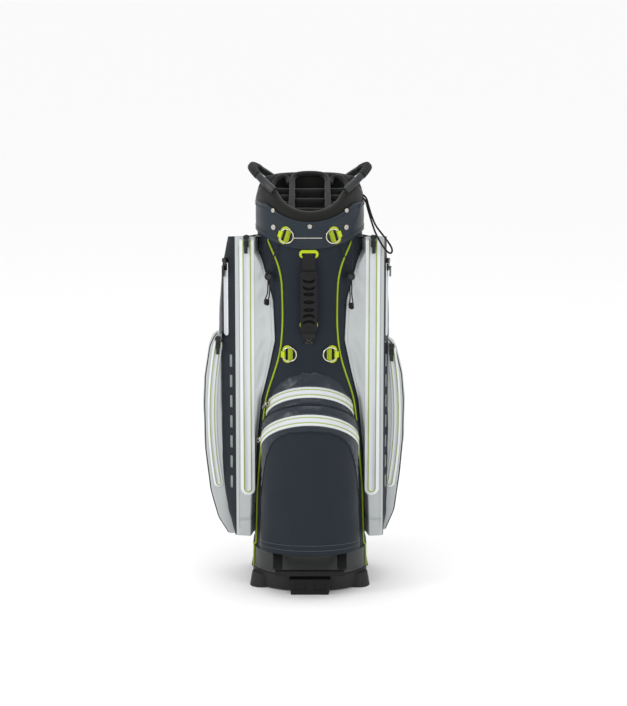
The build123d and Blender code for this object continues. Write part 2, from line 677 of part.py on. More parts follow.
def build_sides():
    save("left_pocket", side_pocket(LEFT_SIDE, LEFT_PLAN, -1))
    save("right_pocket", side_pocket(RIGHT_SIDE, RIGHT_PLAN, 1))
    save("left_outer_pocket", outer_pocket(LEFT_OUTER, LEFT_OUTER_PLAN, LEFT_SIDE, LEFT_PLAN, -1))
    save("right_outer_pocket", outer_pocket(RIGHT_OUTER, RIGHT_OUTER_PLAN, RIGHT_SIDE, RIGHT_PLAN, 1))
    tapes = [face_tape(-1), face_tape(1),
             gusset_tape(-1, pocket_form(LEFT_SIDE, LEFT_PLAN, SIDE_DEPTH, -1)),
             gusset_tape(1, pocket_form(RIGHT_SIDE, RIGHT_PLAN, SIDE_DEPTH, 1))]
    caps = []
    for side, sign, plan, panel_x in (("left", -1, LEFT_PLAN, 176.0), ("right", 1, RIGHT_PLAN, 161.0)):
        places = (("face", face_plane(sign, ZIP_Z[1])),
                  ("panel", panel_plane(plan, sign, panel_x, 690.0)),
                  ("outer", gusset_plane(sign, 520.0 if sign < 0 else 505.0)))
        for name, plane in places:
            save(f"{side}_{name}_slider", slider_solid(plane, TAPE + GAP))
            save(f"{side}_{name}_pull", pull_solid(plane, TAPE + GAP))
            caps.append(garage(plane, TAPE + 0.1))
        tapes.append(block(places[1][1], 16, 160, TAPE, (0, -70, 0.05)))
    save("side_zip_tapes", *tapes)
    save("zip_garages", *caps)


def build_loose():
    save("lift_handle_webbing", *lift_straps())
    save("lift_handle_grip", lift_grip())
    for side, sign in (("left", -1), ("right", 1)):
        save(f"cord_lock_{side}", cord_lock(sign))
        save(f"cord_lock_button_{side}", lock_button(sign))
    cord("shock_cord_left", LEFT_CORD, CORD_R)
    cord("shock_cord_right", RIGHT_CORD, CORD_R)
    cord("towel_loop", TOWEL_CORD, LOOP_R)
    save("cord_knots", knot(-90.2, -108.5, 624, 6.5, 12), knot(86.4, -108.5, 616, 6.5, 11))
    save("towel_keeper", Pos(131.2, -74.8, 788) * Rot(-25, 25, 0) * Box(9, 8, 12))
    save("shoulder_strap", *shoulder_strap())


build_structure()
build_rings()
build_front()
build_sides()
build_loose()
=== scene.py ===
import math

import bpy
import numpy as np
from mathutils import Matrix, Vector, noise


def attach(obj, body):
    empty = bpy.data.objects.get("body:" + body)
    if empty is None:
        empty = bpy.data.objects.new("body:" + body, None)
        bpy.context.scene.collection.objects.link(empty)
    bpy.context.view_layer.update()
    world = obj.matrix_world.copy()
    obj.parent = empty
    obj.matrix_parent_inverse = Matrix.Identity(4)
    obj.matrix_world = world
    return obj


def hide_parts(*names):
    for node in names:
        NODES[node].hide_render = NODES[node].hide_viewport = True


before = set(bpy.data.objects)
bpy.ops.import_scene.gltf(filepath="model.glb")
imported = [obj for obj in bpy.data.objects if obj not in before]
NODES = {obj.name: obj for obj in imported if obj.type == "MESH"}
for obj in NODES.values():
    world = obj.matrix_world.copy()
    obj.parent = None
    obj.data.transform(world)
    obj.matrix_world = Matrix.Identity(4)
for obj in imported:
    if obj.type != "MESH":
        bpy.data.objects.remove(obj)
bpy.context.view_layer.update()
BAG = "bag"
MM = 0.001
WELD = 0.00002

# --- sizes repeated from part.py, in millimetres ---
TUBE_BOTTOM = (240.0, 246.0, 96.0)
TUBE_TOP = (218.0, 236.0, 90.0)
TUBE_Z = (35.0, 780.0)
COLLAR_SIZE = (228.0, 246.0, 95.0)
PAD_INNER = (180.0, 198.0, 72.0)
WELL_X = 36.0
UPPER_ARC = (92.0, -75.4, 379.9)
LOWER_ARC = (102.0, -109.9, 323.4)
GUSSET_Y = -38.0
GUSSET_ARC = 880.0

# Lines on the front of the tube, (z, |x|)
PIPING = [(30, 116), (36, 116), (107, 114), (212, 111), (319, 102), (393, 95), (423, 90),
          (476, 73), (518, 61), (578, 56), (652, 57), (687, 60), (721, 72), (760, 92)]
SILVER_EDGE = [(100, 119), (139, 118), (297, 113), (409, 102), (476, 86), (542, 72), (627, 76),
               (704, 98), (726, 109), (760, 109)]


# --- curves and surfaces ---
def table(pairs, at):
    return float(np.interp(at, [a for a, _ in pairs], [b for _, b in pairs]))


def ease(t):
    t = min(1.0, max(0.0, t))
    return t * t * (3 - 2 * t)


def soft_min(a, b, k):
    h = min(1.0, max(0.0, 0.5 + 0.5 * (b - a) / k))
    return b * (1 - h) + a * h - k * h * (1 - h)


def arc_z(x, middle, side, half):
    """Height at x of a circular arc over the front, flat beyond its half width."""
    rise = side - middle
    radius = (half * half + rise * rise) / (2 * rise)
    x = min(abs(x), half)
    return middle + radius - math.sqrt(radius * radius - x * x)


def size_at(z):
    t = (z - TUBE_Z[0]) / (TUBE_Z[1] - TUBE_Z[0])
    return [a + (b - a) * t for a, b in zip(TUBE_BOTTOM, TUBE_TOP)]


def run_of(size, x):
    """Run along a rounded rectangle from its front centre to x."""
    w, _, r = size
    flat = w / 2 - r
    a = abs(x)
    run = a if a <= flat else flat + r * math.asin(min(1.0, (a - flat) / r))
    return math.copysign(run, x)


def half_run(size):
    w, d, r = size
    return (w / 2 - r) * 2 + (d / 2 - r) * 2 + math.pi * r


def around(size, run, out=0.0):
    """Point and normal at a run along a rounded rectangle, to +X from the front centre."""
    w, d, r = size
    cx, cy, quarter = w / 2 - r, d / 2 - r, r * math.pi / 2
    a = abs(run)
    if a <= cx:
        x, y, nx, ny = a, -d / 2, 0.0, -1.0
    elif a <= cx + quarter:
        t = (a - cx) / r
        nx, ny = math.sin(t), -math.cos(t)
        x, y = cx + r * nx, -cy + r * ny
    elif a <= cx + quarter + 2 * cy:
        x, y, nx, ny = w / 2, a - cx - quarter - cy, 1.0, 0.0
    elif a <= cx + 2 * quarter + 2 * cy:
        t = (a - cx - quarter - 2 * cy) / r
        nx, ny = math.cos(t), math.sin(t)
        x, y = cx + r * nx, cy + r * ny
    else:
        x, y, nx, ny = 2 * cx + 2 * quarter + 2 * cy - a, d / 2, 0.0, 1.0
    s = math.copysign(1.0, run)
    return (s * (x + nx * out), y + ny * out), (s * nx, ny)


def on_tube(x, z, out=0.0, size=None):
    """Point and normal on the tube's front, at x and z."""
    size = size or size_at(z)
    (px, py), (nx, ny) = around(size, run_of(size, x), out)
    return Vector((px, py, z)), Vector((nx, ny, 0))


def spline(points, step=4.0):
    """Smooth line through points, with samples about a step apart."""
    p = np.array(points, float)
    ends = np.vstack([2 * p[0] - p[1], p, 2 * p[-1] - p[-2]])
    out = []
    for i in range(1, len(ends) - 2):
        a, b, c, d = ends[i - 1:i + 3]
        count = max(2, int(np.linalg.norm(c - b) / step))
        for t in np.arange(count) / count:
            out.append(0.5 * (2 * b + (c - a) * t + (2 * a - 5 * b + 4 * c - d) * t ** 2
                              + (3 * b - a - 3 * c + d) * t ** 3))
    out.append(p[-1])
    return np.array(out)


def spaced(line, step):
    """The same line with even spacing."""
    line = np.array(line, float)
    along = np.concatenate([[0], np.cumsum(np.linalg.norm(np.diff(line, axis=0), axis=1))])
    at = np.linspace(0, along[-1], max(2, int(along[-1] / step) + 1))
    return np.stack([np.interp(at, along, line[:, k]) for k in range(line.shape[1])], axis=1)


def wrinkle(x, y, z, scale):
    return noise.noise(Vector((x / scale, y / scale, z / scale)))


# --- mesh building ---
class Piece:
    """Collects faces in millimetres and makes one object of them."""

    def __init__(self):
        self.points, self.faces, self.slots, self.uvs = [], [], [], []

    def grid(self, rows, slot=0, wrap=False, close=False, caps=(False, False), columns=None):
        """Quads over rows of points. wrap joins the last column to the first, close joins
        the last row to the first, columns gives a material slot for each column."""
        rows = np.array(rows, float)
        nr, nc, _ = rows.shape
        base = len(self.points)
        self.points += [tuple(p) for p in rows.reshape(-1, 3)]
        middle = rows[nr // 2]
        across = np.linalg.norm(np.diff(np.vstack([middle, middle[:1]]), axis=0), axis=1)
        across = np.concatenate([[0], np.cumsum(across)]) * MM
        up = np.linalg.norm(np.diff(np.vstack([rows, rows[:1]]), axis=0), axis=2).mean(axis=1)
        up = np.concatenate([[0], np.cumsum(up)]) * MM
        for i in range(nr if close else nr - 1):
            for j in range(nc if wrap else nc - 1):
                a, b = (i + 1) % nr, (j + 1) % nc
                self.faces.append((base + i * nc + j, base + i * nc + b,
                                   base + a * nc + b, base + a * nc + j))
                self.slots.append(columns[j] if columns else slot)
                u0, u1, v0, v1 = across[j], across[j + 1], up[i], up[i + 1]
                self.uvs.append([(u0, v0), (u1, v0), (u1, v1), (u0, v1)])
        for flag, row, turn in ((caps[0], 0, -1), (caps[1], nr - 1, 1)):
            if flag:
                self.cap([base + row * nc + j for j in range(nc)][::turn], slot)

    def cap(self, ring, slot):
        centre = np.mean([self.points[i] for i in ring], axis=0)
        self.points.append(tuple(centre))
        for a, b in zip(ring, ring[1:] + ring[:1]):
            tri = (a, b, len(self.points) - 1)
            self.faces.append(tri)
            self.slots.append(slot)
            self.uvs.append([(self.points[k][0] * MM, self.points[k][1] * MM) for k in tri])

    def tube(self, line, radius, slot=0, sides=8, loop=False, flat=1.0):
        """Round or flattened tube along a line; radius may vary along it."""
        line = np.array(line, float)
        n = len(line)
        radii = radius if hasattr(radius, "__len__") else [radius] * n
        rows = []
        side = np.array((0.0, 0.0, 1.0))
        for i in range(n):
            before = line[i - 1] if i or loop else line[i]
            after = line[(i + 1) % n] if i < n - 1 or loop else line[i]
            t = after - before
            t = t / np.linalg.norm(t)
            side = side - t * (side @ t)
            side = side / max(np.linalg.norm(side), 1e-9)
            other = np.cross(t, side)
            rows.append([line[i] + radii[i] * (math.cos(a) * side * flat + math.sin(a) * other)
                         for a in np.arange(sides) * 2 * math.pi / sides])
        self.grid(rows, slot, wrap=True, close=loop, caps=(not loop, not loop))

    def band(self, line, normals, profile, slot=0):
        """Sweep of a closed profile of (across, out) points along a line on a surface."""
        line, normals = np.array(line, float), np.array(normals, float)
        rows = []
        for i in range(len(line)):
            t = line[min(i + 1, len(line) - 1)] - line[max(i - 1, 0)]
            t = t / np.linalg.norm(t)
            across = np.cross(t, normals[i])
            across = across / np.linalg.norm(across)
            rows.append([line[i] + across * a + normals[i] * o for a, o, *_ in profile])
        columns = [p[2] if len(p) > 2 else slot for p in profile]
        base = len(self.points)
        self.grid(rows, slot, wrap=True, columns=columns)
        nc = len(profile)
        self.cap([base + j for j in range(nc)][::-1], slot)
        self.cap([base + (len(line) - 1) * nc + j for j in range(nc)], slot)

    def stitches(self, line, normals, slot=0, pitch=4.2, length=2.9, thick=0.38, lift=0.25):
        """A row of short threads along a line on a surface."""
        both = spaced(np.hstack([np.array(line, float), np.array(normals, float)]), pitch)
        for i in range(1, len(both) - 1):
            p, n = both[i, :3], both[i, 3:]
            t = both[i + 1, :3] - both[i - 1, :3]
            t = t / np.linalg.norm(t) * length / 2
            c = p + n * lift
            self.tube([c - t - n * lift, c - t * 0.55, c + t * 0.55, c + t - n * lift],
                      [thick * 0.4, thick, thick, thick * 0.4], slot, sides=6)

    def make(self, name, materials, body=BAG, merge=False):
        mesh = bpy.data.meshes.new(name)
        mesh.from_pydata([tuple(c * MM for c in p) for p in self.points], [], self.faces)
        for m in materials:
            mesh.materials.append(m)
        mesh.polygons.foreach_set("material_index", self.slots)
        layer = mesh.uv_layers.new(name="cloth")
        layer.data.foreach_set("uv", np.array([c for f in self.uvs for uv in f for c in uv]))
        mesh.shade_smooth()
        obj = bpy.data.objects.new(name, mesh)
        bpy.context.scene.collection.objects.link(obj)
        if merge:
            weld = obj.modifiers.new("weld", "WELD")
            weld.merge_threshold = WELD
        if body:
            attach(obj, body)
        return obj


def put(piece, name, materials, replaces=None, body=BAG, merge=False):
    """Make the object and hide the CAD solid it stands for."""
    obj = piece.make(name, materials, body, merge)
    if replaces:
        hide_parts(replaces)


# --- materials ---
def srgb(r, g, b):
    return [((c / 255 + 0.055) / 1.055) ** 2.4 if c > 10 else c / 255 / 12.92 for c in (r, g, b)] + [1.0]


def material(name, colour, rough, pattern, pitch, depth, metal=0.0, coat=0.0, sheen=0.0,
             mottle=0.12, dark=0.75, coords="UV", specular=0.22, crinkle=0.0, bevel=0.0, spread=0.1):
    """Procedural surface: a repeating structure of the given pitch (metres) that shades and
    embosses the base colour, with slow mottling of colour and gloss over it."""
    m = bpy.data.materials.new(name)
    m.use_nodes = True
    tree = m.node_tree
    nodes, link = tree.nodes, tree.links.new
    shader = nodes["Principled BSDF"]
    shader.inputs["Metallic"].default_value = metal
    shader.inputs["Coat Weight"].default_value = coat
    shader.inputs["Coat Roughness"].default_value = 0.25
    shader.inputs["Sheen Weight"].default_value = sheen
    shader.inputs["Sheen Roughness"].default_value = 0.4
    shader.inputs["Specular IOR Level"].default_value = specular
    where = nodes.new("ShaderNodeTexCoord").outputs[coords]

    def add(kind, inputs=(), **settings):
        node = nodes.new(kind)
        for key, value in settings.items():
            setattr(node, key, value)
        for key, value in inputs:
            if isinstance(value, bpy.types.NodeSocket):
                link(value, node.inputs[key])
            else:
                node.inputs[key].default_value = value
        return node

    def waves(direction, turn=0.0):
        at = where
        if turn:
            at = add("ShaderNodeMapping", [("Vector", where), ("Rotation", (0, 0, turn))]).outputs[0]
        return add("ShaderNodeTexWave", [("Vector", at), ("Scale", 0.314 / pitch),
                                         ("Distortion", 0.4), ("Detail", 0.0)],
                   bands_direction=direction).outputs["Fac"]

    if pattern == "weave":
        height = add("ShaderNodeMath", [(0, waves("X")), (1, waves("Y"))], operation="ADD").outputs[0]
        height = add("ShaderNodeMath", [(0, height), (1, 0.5)], operation="MULTIPLY").outputs[0]
    elif pattern == "twill":
        height = waves("X", math.pi / 4)
    elif pattern == "ribs":
        height = waves("Y")
    elif pattern == "mesh":
        turned = add("ShaderNodeMapping", [("Vector", where), ("Rotation", (0, 0, math.pi / 4))])
        height = add("ShaderNodeTexVoronoi", [("Vector", turned.outputs[0]), ("Scale", 1 / pitch),
                                              ("Randomness", 0.05)]).outputs["Distance"]
        height = add("ShaderNodeMath", [(0, height), (1, 1.6)], operation="MULTIPLY",
                     use_clamp=True).outputs[0]
    elif pattern == "grain":
        height = add("ShaderNodeTexVoronoi", [("Vector", where), ("Scale", 1 / pitch)],
                     feature="SMOOTH_F1").outputs["Distance"]
    else:
        height = add("ShaderNodeTexNoise", [("Vector", where), ("Scale", 1 / pitch),
                                            ("Detail", 4.0)]).outputs["Fac"]
    slow = add("ShaderNodeTexNoise", [("Vector", where), ("Scale", 14.0), ("Detail", 5.0)]).outputs["Fac"]
    base = srgb(*colour)
    shade = [c * dark for c in base[:3]] + [1.0]
    tone = add("ShaderNodeMix", [(0, height), (6, shade), (7, base)], data_type="RGBA").outputs[2]
    lighter = [min(1.0, c * (1 + mottle)) for c in base[:3]] + [1.0]
    amount = add("ShaderNodeMapRange", [("Value", slow), ("From Min", 0.3), ("From Max", 0.7),
                                        ("To Min", 0.0), ("To Max", 0.6)]).outputs[0]
    tone = add("ShaderNodeMix", [(0, amount), (6, tone), (7, lighter)], data_type="RGBA").outputs[2]
    link(tone, shader.inputs["Base Color"])
    gloss = add("ShaderNodeMapRange", [("Value", slow), ("From Min", 0.3), ("From Max", 0.7),
                                       ("To Min", max(0.03, rough - spread)),
                                       ("To Max", min(1.0, rough + spread))]).outputs[0]
    link(gloss, shader.inputs["Roughness"])
    normal = None
    if bevel:
        normal = add("ShaderNodeBevel", [("Radius", bevel)], samples=4).outputs[0]
    if crinkle:
        folds = add("ShaderNodeTexNoise", [("Vector", where), ("Scale", 42.0), ("Detail", 6.0),
                                           ("Roughness", 0.6), ("Distortion", 1.2)]).outputs["Fac"]
        inputs = [("Strength", 1.0), ("Distance", crinkle), ("Height", folds)]
        if normal:
            inputs.append(("Normal", normal))
        normal = add("ShaderNodeBump", inputs).outputs[0]
    inputs = [("Strength", 1.0), ("Distance", depth), ("Height", height)]
    if normal:
        inputs.append(("Normal", normal))
    link(add("ShaderNodeBump", inputs).outputs[0], shader.inputs["Normal"])
    return m


HARD = {"coords": "Object", "dark": 0.9}
NAVY = material("navy_weave", (24, 32, 42), 0.62, "weave", 0.0016, 0.00012, sheen=0.1)
NAVY_SIDE = material("navy_side", (24, 31, 40), 0.5, "weave", 0.0016, 0.0001, crinkle=0.0006)
LEATHER = material("navy_leather", (28, 39, 48), 0.38, "grain", 0.0012, 0.00008, coat=0.15)
GLOSSY = material("navy_glossy", (24, 33, 44), 0.27, "weave", 0.0012, 0.00005, coat=0.3,
                  crinkle=0.0022)
MATT = material("navy_matt", (26, 33, 41), 0.6, "mesh", 0.0028, 0.00010, dark=0.86)
SILVER = material("silver_mesh", (184, 188, 189), 0.42, "mesh", 0.0034, 0.00016, dark=0.80,
                  crinkle=0.0007, mottle=0.06)
DARK_SIDE = material("dark_side", (50, 57, 60), 0.42, "twill", 0.0016, 0.00008, crinkle=0.0012)
DEEP_NAVY = material("deep_navy", (22, 28, 37), 0.5, "weave", 0.0016, 0.0001, crinkle=0.0006)
PALE = material("pale_grey_green", (176, 183, 178), 0.45, "mesh", 0.0034, 0.00012, dark=0.88,
                crinkle=0.0012)
WHITE = material("white_tape", (222, 225, 226), 0.5, "ribs", 0.0012, 0.00008, mottle=0.03, dark=0.93)
LAVENDER = material("lavender_strip", (206, 209, 215), 0.35, "ribs", 0.0008, 0.00005, mottle=0.03,
                    dark=0.93)
LIME = material("lime_cord", (150, 170, 30), 0.45, "ribs", 0.0012, 0.00010, dark=0.8)
LIME_PLASTIC = material("lime_plastic", (180, 196, 30), 0.32, "noise", 0.0008, 0.00003,
                        coords="Object", bevel=0.0008, dark=0.92)
BLACK_MESH = material("black_air_mesh", (26, 26, 25), 0.85, "mesh", 0.0026, 0.00030, sheen=0.25,
                      dark=0.45, specular=0.25)
PIPE_BLACK = material("black_piping", (24, 27, 31), 0.5, "ribs", 0.0012, 0.0001)
WEBBING = material("black_webbing", (27, 27, 27), 0.75, "ribs", 0.0016, 0.00020, sheen=0.15, dark=0.55)
PLASTIC = material("black_plastic", (20, 20, 21), 0.4, "noise", 0.0006, 0.00003, bevel=0.0006, **HARD)
SATIN = material("satin_plastic", (46, 48, 50), 0.34, "noise", 0.0006, 0.00003, bevel=0.0008, **HARD)
GLOSS_BLACK = material("gloss_black", (14, 15, 16), 0.16, "noise", 0.0008, 0.00001, bevel=0.0005,
                       coat=0.4, **HARD)
RUBBER = material("black_rubber", (38, 38, 38), 0.55, "grain", 0.0009, 0.00005, bevel=0.0012, **HARD)
GRIP = material("grip_rubber", (22, 22, 22), 0.6, "noise", 0.0007, 0.00005, coords="Object",
                bevel=0.0006, dark=0.85)
BAND = material("grey_leatherette", (52, 54, 54), 0.42, "grain", 0.0012, 0.00008, coat=0.1)
CHROME = material("chrome", (208, 202, 192), 0.14, "noise", 0.002, 0.00001, metal=1.0,
                  bevel=0.0004, spread=0.05, **HARD)
NICKEL = material("nickel", (188, 184, 176), 0.25, "noise", 0.001, 0.00002, metal=1.0,
                  bevel=0.0004, **HARD)
SPRING = material("spring_steel", (120, 122, 124), 0.35, "noise", 0.001, 0.00001, metal=1.0,
                  **HARD)
THREAD = material("thread", (70, 78, 88), 0.7, "ribs", 0.0006, 0.00008, dark=0.7)
GREY_THREAD = material("grey_thread", (118, 122, 126), 0.7, "ribs", 0.0006, 0.00008, dark=0.7)
PRINT = material("grey_print", (134, 140, 138), 0.45, "noise", 0.0008, 0.00002, dark=0.92)
BRAID = material("elastic_braid", (22, 22, 23), 0.7, "noise", 0.0009, 0.00025, coords="Object", dark=0.5,
                 sheen=0.2)
FLOOR = material("floor", (250, 250, 250), 0.85, "noise", 0.05, 0.0, coords="Object", mottle=0.0,
                 dark=1.0, specular=0.1)


# --- camera, light and floor ---
def camera():
    data = bpy.data.cameras.new("camera")
    data.lens = 118.6
    data.shift_x = 0.0052
    data.shift_y = 0.034
    obj = bpy.data.objects.new("camera", data)
    obj.location = (0, -4.891, 1.4806)
    obj.rotation_euler = (math.radians(78.0), 0, 0)
    bpy.context.scene.collection.objects.link(obj)
    bpy.context.scene.camera = obj


def light(name, place, size, power):
    data = bpy.data.lights.new(name, "AREA")
    data.shape = "RECTANGLE"
    data.size, data.size_y = size
    data.energy = power
    obj = bpy.data.objects.new(name, data)
    obj.location = place
    aim = Vector((0, 0, 0.45)) - Vector(place)
    obj.rotation_euler = aim.to_track_quat("-Z", "Y").to_euler()
    bpy.context.scene.collection.objects.link(obj)


def studio():
    world = bpy.data.worlds.new("studio")
    world.use_nodes = True
    sky = world.node_tree.nodes["Background"]
    sky.inputs["Color"].default_value = (1, 1, 1, 1)
    sky.inputs["Strength"].default_value = 1.0
    bpy.context.scene.world = world
    bpy.context.scene.view_settings.view_transform = "Standard"
    light("key", (-2.6, -1.6, 2.0), (0.9, 1.2), 24)
    light("fill", (2.2, -2.2, 1.4), (1.2, 1.8), 9)
    light("top", (0.0, -0.2, 2.8), (1.6, 1.2), 12)
    ground = Piece()
    ring = [[(60000 * math.cos(a) * k, 60000 * math.sin(a) * k, 0.0) for a in np.arange(48) * math.pi / 24]
            for k in (1.0, 0.5, 0.1)]
    ground.grid(ring, wrap=True, caps=(False, True))
    ground.make("floor", [FLOOR], body=None)


# --- cords: the routes of part.py as NURBS control points ---
def cord(name, points, diameter, length, **facts):
    data = bpy.data.curves.new(name, "CURVE")
    data.dimensions = "3D"
    data.resolution_u = 12
    data.bevel_depth = diameter / 2 * MM
    data.bevel_resolution = 3
    data.use_fill_caps = True
    line = data.splines.new("NURBS")
    line.points.add(len(points) - 1)
    for p, at in zip(line.points, points):
        p.co = (at[0] * MM, at[1] * MM, at[2] * MM, 1)
    line.order_u = 3
    line.use_endpoint_u = True
    data.materials.append(BRAID)
    obj = bpy.data.objects.new(name + "_line", data)
    bpy.context.scene.collection.objects.link(obj)
    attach(obj, BAG)
    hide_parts(name)
    return obj


LEFT_CORD = [(-91, -88.6, 756.5), (-91.5, -94, 740), (-89.5, -100.5, 721), (-87.6, -106.3, 704),
             (-87.3, -107.5, 690), (-87.3, -107.5, 643), (-92.5, -108, 633), (-94, -108.5, 624),
             (-91.3, -108.5, 618), (-87.3, -108.5, 620), (-86.6, -108.5, 630), (-83.7, -107.5, 642),
             (-83.7, -107.5, 690), (-80.5, -108.5, 706), (-73.5, -110.5, 724), (-68, -112, 737),
             (-66.3, -108.6, 748.0)]
RIGHT_CORD = [(88, -91.2, 755.3), (88.6, -96.5, 740), (88.2, -102, 721), (87.4, -106.3, 704),
              (87.3, -107.5, 690), (87.3, -107.5, 643), (88.4, -108, 633), (90.4, -108.5, 621),
              (88.5, -108.5, 612), (84, -108.5, 612.5), (82.4, -108.5, 621), (84.4, -108, 632),
              (83.7, -107.5, 642), (83.7, -107.5, 690), (80, -108.5, 706), (71.5, -111, 724),
              (65, -113, 736), (62.4, -111, 746.5)]
TOWEL_CORD = [(109.5, -43, 834.5), (117, -45, 831), (120.5, -53, 815), (125.5, -65, 799),
              (130, -76, 785), (135.5, -87, 769), (145, -93, 751), (154, -94, 737), (162, -94, 727),
              (169, -94, 724), (172.5, -94, 730), (168.5, -94, 741), (159, -94, 754),
              (148, -92, 768), (138, -83.5, 780), (132.5, -73.5, 791), (127.5, -63, 804),
              (122.5, -52, 820), (118.5, -41, 836), (109.5, -38, 841)]


# --- tube ---
TUBE_INSIDE = 0.972


def tube_rows():
    """Rings of the tube with columns that follow the piping."""
    rows = []
    for z in np.linspace(36.0, 779.0, 130):
        size = size_at(z)
        pipe, edge = run_of(size, table(PIPING, z)), run_of(size, table(SILVER_EDGE, z))
        edge = max(edge, pipe + 2)
        end = half_run(size)
        runs = np.concatenate([np.linspace(0, pipe, 12, endpoint=False),
                               np.linspace(pipe, edge, 4, endpoint=False),
                               np.linspace(edge, end, 36)])
        runs = np.concatenate([-runs[:0:-1], runs[:-1]])
        ring = []
        for run in runs:
            (x, y), (nx, ny) = around(size, run)
            side = ease((abs(x) - 84) / 22) * ease((y + 118) / 40)
            fold = 1.3 * math.sin(run * 0.42) * side * ease((z - 660) / 60)
            bump = fold + 0.7 * wrinkle(x, y, z, 38)
            ring.append((x + nx * bump, y + ny * bump, z))
        rows.append(ring)
    return rows


def tube_cover():
    tube = Piece()
    outer = tube_rows()
    tube.grid(outer, wrap=True)
    inner = [[(x * TUBE_INSIDE, y * TUBE_INSIDE, z) for x, y, z in ring] for ring in outer]
    tube.grid(inner[::-1], wrap=True)
    tube.grid([outer[-1], inner[-1]], wrap=True)
    tube.grid([inner[0], outer[0]], wrap=True)
    put(tube, "tube_cover", [NAVY], "body_shell", merge=True)


def front_line(pairs, sign, z0, z1, out):
    """Line on the front of the tube at the given |x| for each z, with its normals."""
    line, normals = [], []
    for z in np.arange(z0, z1, 6.0):
        p, n = on_tube(sign * table(pairs, z), z, out)
        line.append(p)
        normals.append(n)
    return line, normals


def tube_seams():
    """Lime piping down both sides of the front, with stitches beside it."""
    piping = Piece()
    seams = Piece()
    for sign in (-1, 1):
        heights = np.arange(36, 762, 4.0)
        widths = np.pad([table(PIPING, z) for z in heights], 6, mode="edge")
        smooth = list(zip(heights, np.convolve(widths, np.ones(13) / 13, "valid")))
        line, normals = front_line(smooth, sign, 36, 758, out=1.3)
        line = [p if p.z > 84 else on_tube(p.x, p.z, 4.2)[0] for p in line]
        piping.tube(line, 1.9, sides=10)
        for offset in (3.4, -3.4):
            shifted = [(z, x + offset) for z, x in smooth]
            line, normals = front_line(shifted, sign, 92, 750, out=0.7)
            seams.stitches(line, normals)
    put(piping, "lime_piping", [LIME])
    seams.make("tube_stitches", [THREAD])


# --- collar ---
def collar_bottom(x, y):
    return arc_z(x, 738, 767, 112) if y < 0 else 767.0


def collar_top(x, y):
    return arc_z(x, 794, 829, 90) if y < 0 else 829.0


def ring_runs(size, count):
    end = half_run(size)
    return np.linspace(-end, end, count, endpoint=False)


def collar_point(run, t, out=0.0):
    (x, y), n = around(COLLAR_SIZE, run, out)
    z0, z1 = collar_bottom(x, y), collar_top(x, y)
    return (x, y, z0 + (z1 - z0) * t), n


def collar_cover():
    collar = Piece()
    profile = [(-3.4, 0.0), (-1.2, -0.012), (0.2, 0.0), (0.6, 0.03), (-0.2, 0.07), (-0.5, 0.12), (0.1, 0.3),
               (0.3, 0.5), (0.1, 0.7), (-0.5, 0.87), (-0.3, 0.91), (0.7, 0.95), (0.4, 0.99), (-1.2, 1.01),
               (-3.4, 0.995), (-3.9, 0.7), (-3.9, 0.3)]
    rows = []
    for out, t in profile:
        ring = []
        for run in ring_runs(COLLAR_SIZE, 160):
            wave = 0.5 * wrinkle(run, t * 60, 0, 45) if out > -1 else 0.0
            (x, y, z), _ = collar_point(run, t, out + wave)
            ring.append((x, y, z))
        rows.append(ring)
    collar.grid(rows, wrap=True, close=True)
    put(collar, "collar_cover", [LEATHER], "collar")


def collar_stitches():
    threads = Piece()
    for t in (0.115, 0.145, 0.845, 0.875):
        runs = ring_runs(COLLAR_SIZE, 170)
        line = [collar_point(run, t, 0.1)[0] for run in runs]
        normals = [(*collar_point(run, t)[1], 0) for run in runs]
        threads.stitches(line, normals, pitch=4.0)
    threads.make("collar_stitches", [THREAD])


def collar_bar():
    bar = Piece()
    line = [on_tube(x, 761, 0.55, COLLAR_SIZE)[0] for x in np.linspace(-33, 26, 24)]
    bar.band(line, [(0, -1, 0)] * 24, [(-1.2, 0), (-0.9, 0.8), (0.9, 0.8), (1.2, 0)])
    bar.make("collar_bar", [NICKEL])


# --- padded rim and dividers ---
RIM_SIZE = (220.0, 238.0, 91.0)
RIM_ROLL = 10.5
WALL_HALF, ROLL_HALF = 2.4, 4.6
SIDE_WALLS = (-51, -17, 17, 51)
MIDDLE_WALLS = (-49.5, 0.0, 49.5)


def rim_height(x, y):
    front = arc_z(x, 815, 867, 86)
    back = 867.0 + 2.5 * ease((y - 60) / 50)
    side = 867 - 22 * ease((62 - abs(y)) / 16)
    if abs(x) > 80:
        return side
    return front if y < 0 else back


def rim_rows():
    runs = ring_runs(RIM_SIZE, 200)
    heights = np.array([rim_height(*around(RIM_SIZE, r)[0]) for r in runs])
    kernel = np.ones(9) / 9
    heights = np.convolve(np.concatenate([heights[-4:], heights, heights[:4]]), kernel, "valid")
    section = [(0.0, 0.0), (1.2, 0.45), (2.2, 0.8)]
    rows = []
    for out, share in section:
        ring = []
        for run, top in zip(runs, heights):
            (x, y), _ = around(RIM_SIZE, run, out)
            z0 = collar_top(x, y) - 8
            ring.append((x, y, z0 + (top - 9 - z0) * share))
        rows.append(ring)
    for a in np.linspace(0, math.pi, 11):
        ring = []
        for run, top in zip(runs, heights):
            swell = 1.0 + 0.04 * wrinkle(run, a * 8, 0, 30)
            out = -8.5 + 11.5 * math.cos(a) * swell
            (x, y), _ = around(RIM_SIZE, run, out)
            ring.append((x, y, top - RIM_ROLL + RIM_ROLL * math.sin(a) * swell))
        rows.append(ring)
    for out, z, pull in ((-19.5, 800, 0.5), (-19.6, 784, 0.0), (-19.0, 769, 0.0), (-12.0, 768, 0.0),
                         (-8.0, 785, 0.0)):
        ring = []
        for run, top in zip(runs, heights):
            (x, y), _ = around(RIM_SIZE, run, out + 0.8 * wrinkle(run, z, 0, 28) * pull)
            ring.append((x, y, min(z, top - 16)))
        rows.append(ring)
    return rows


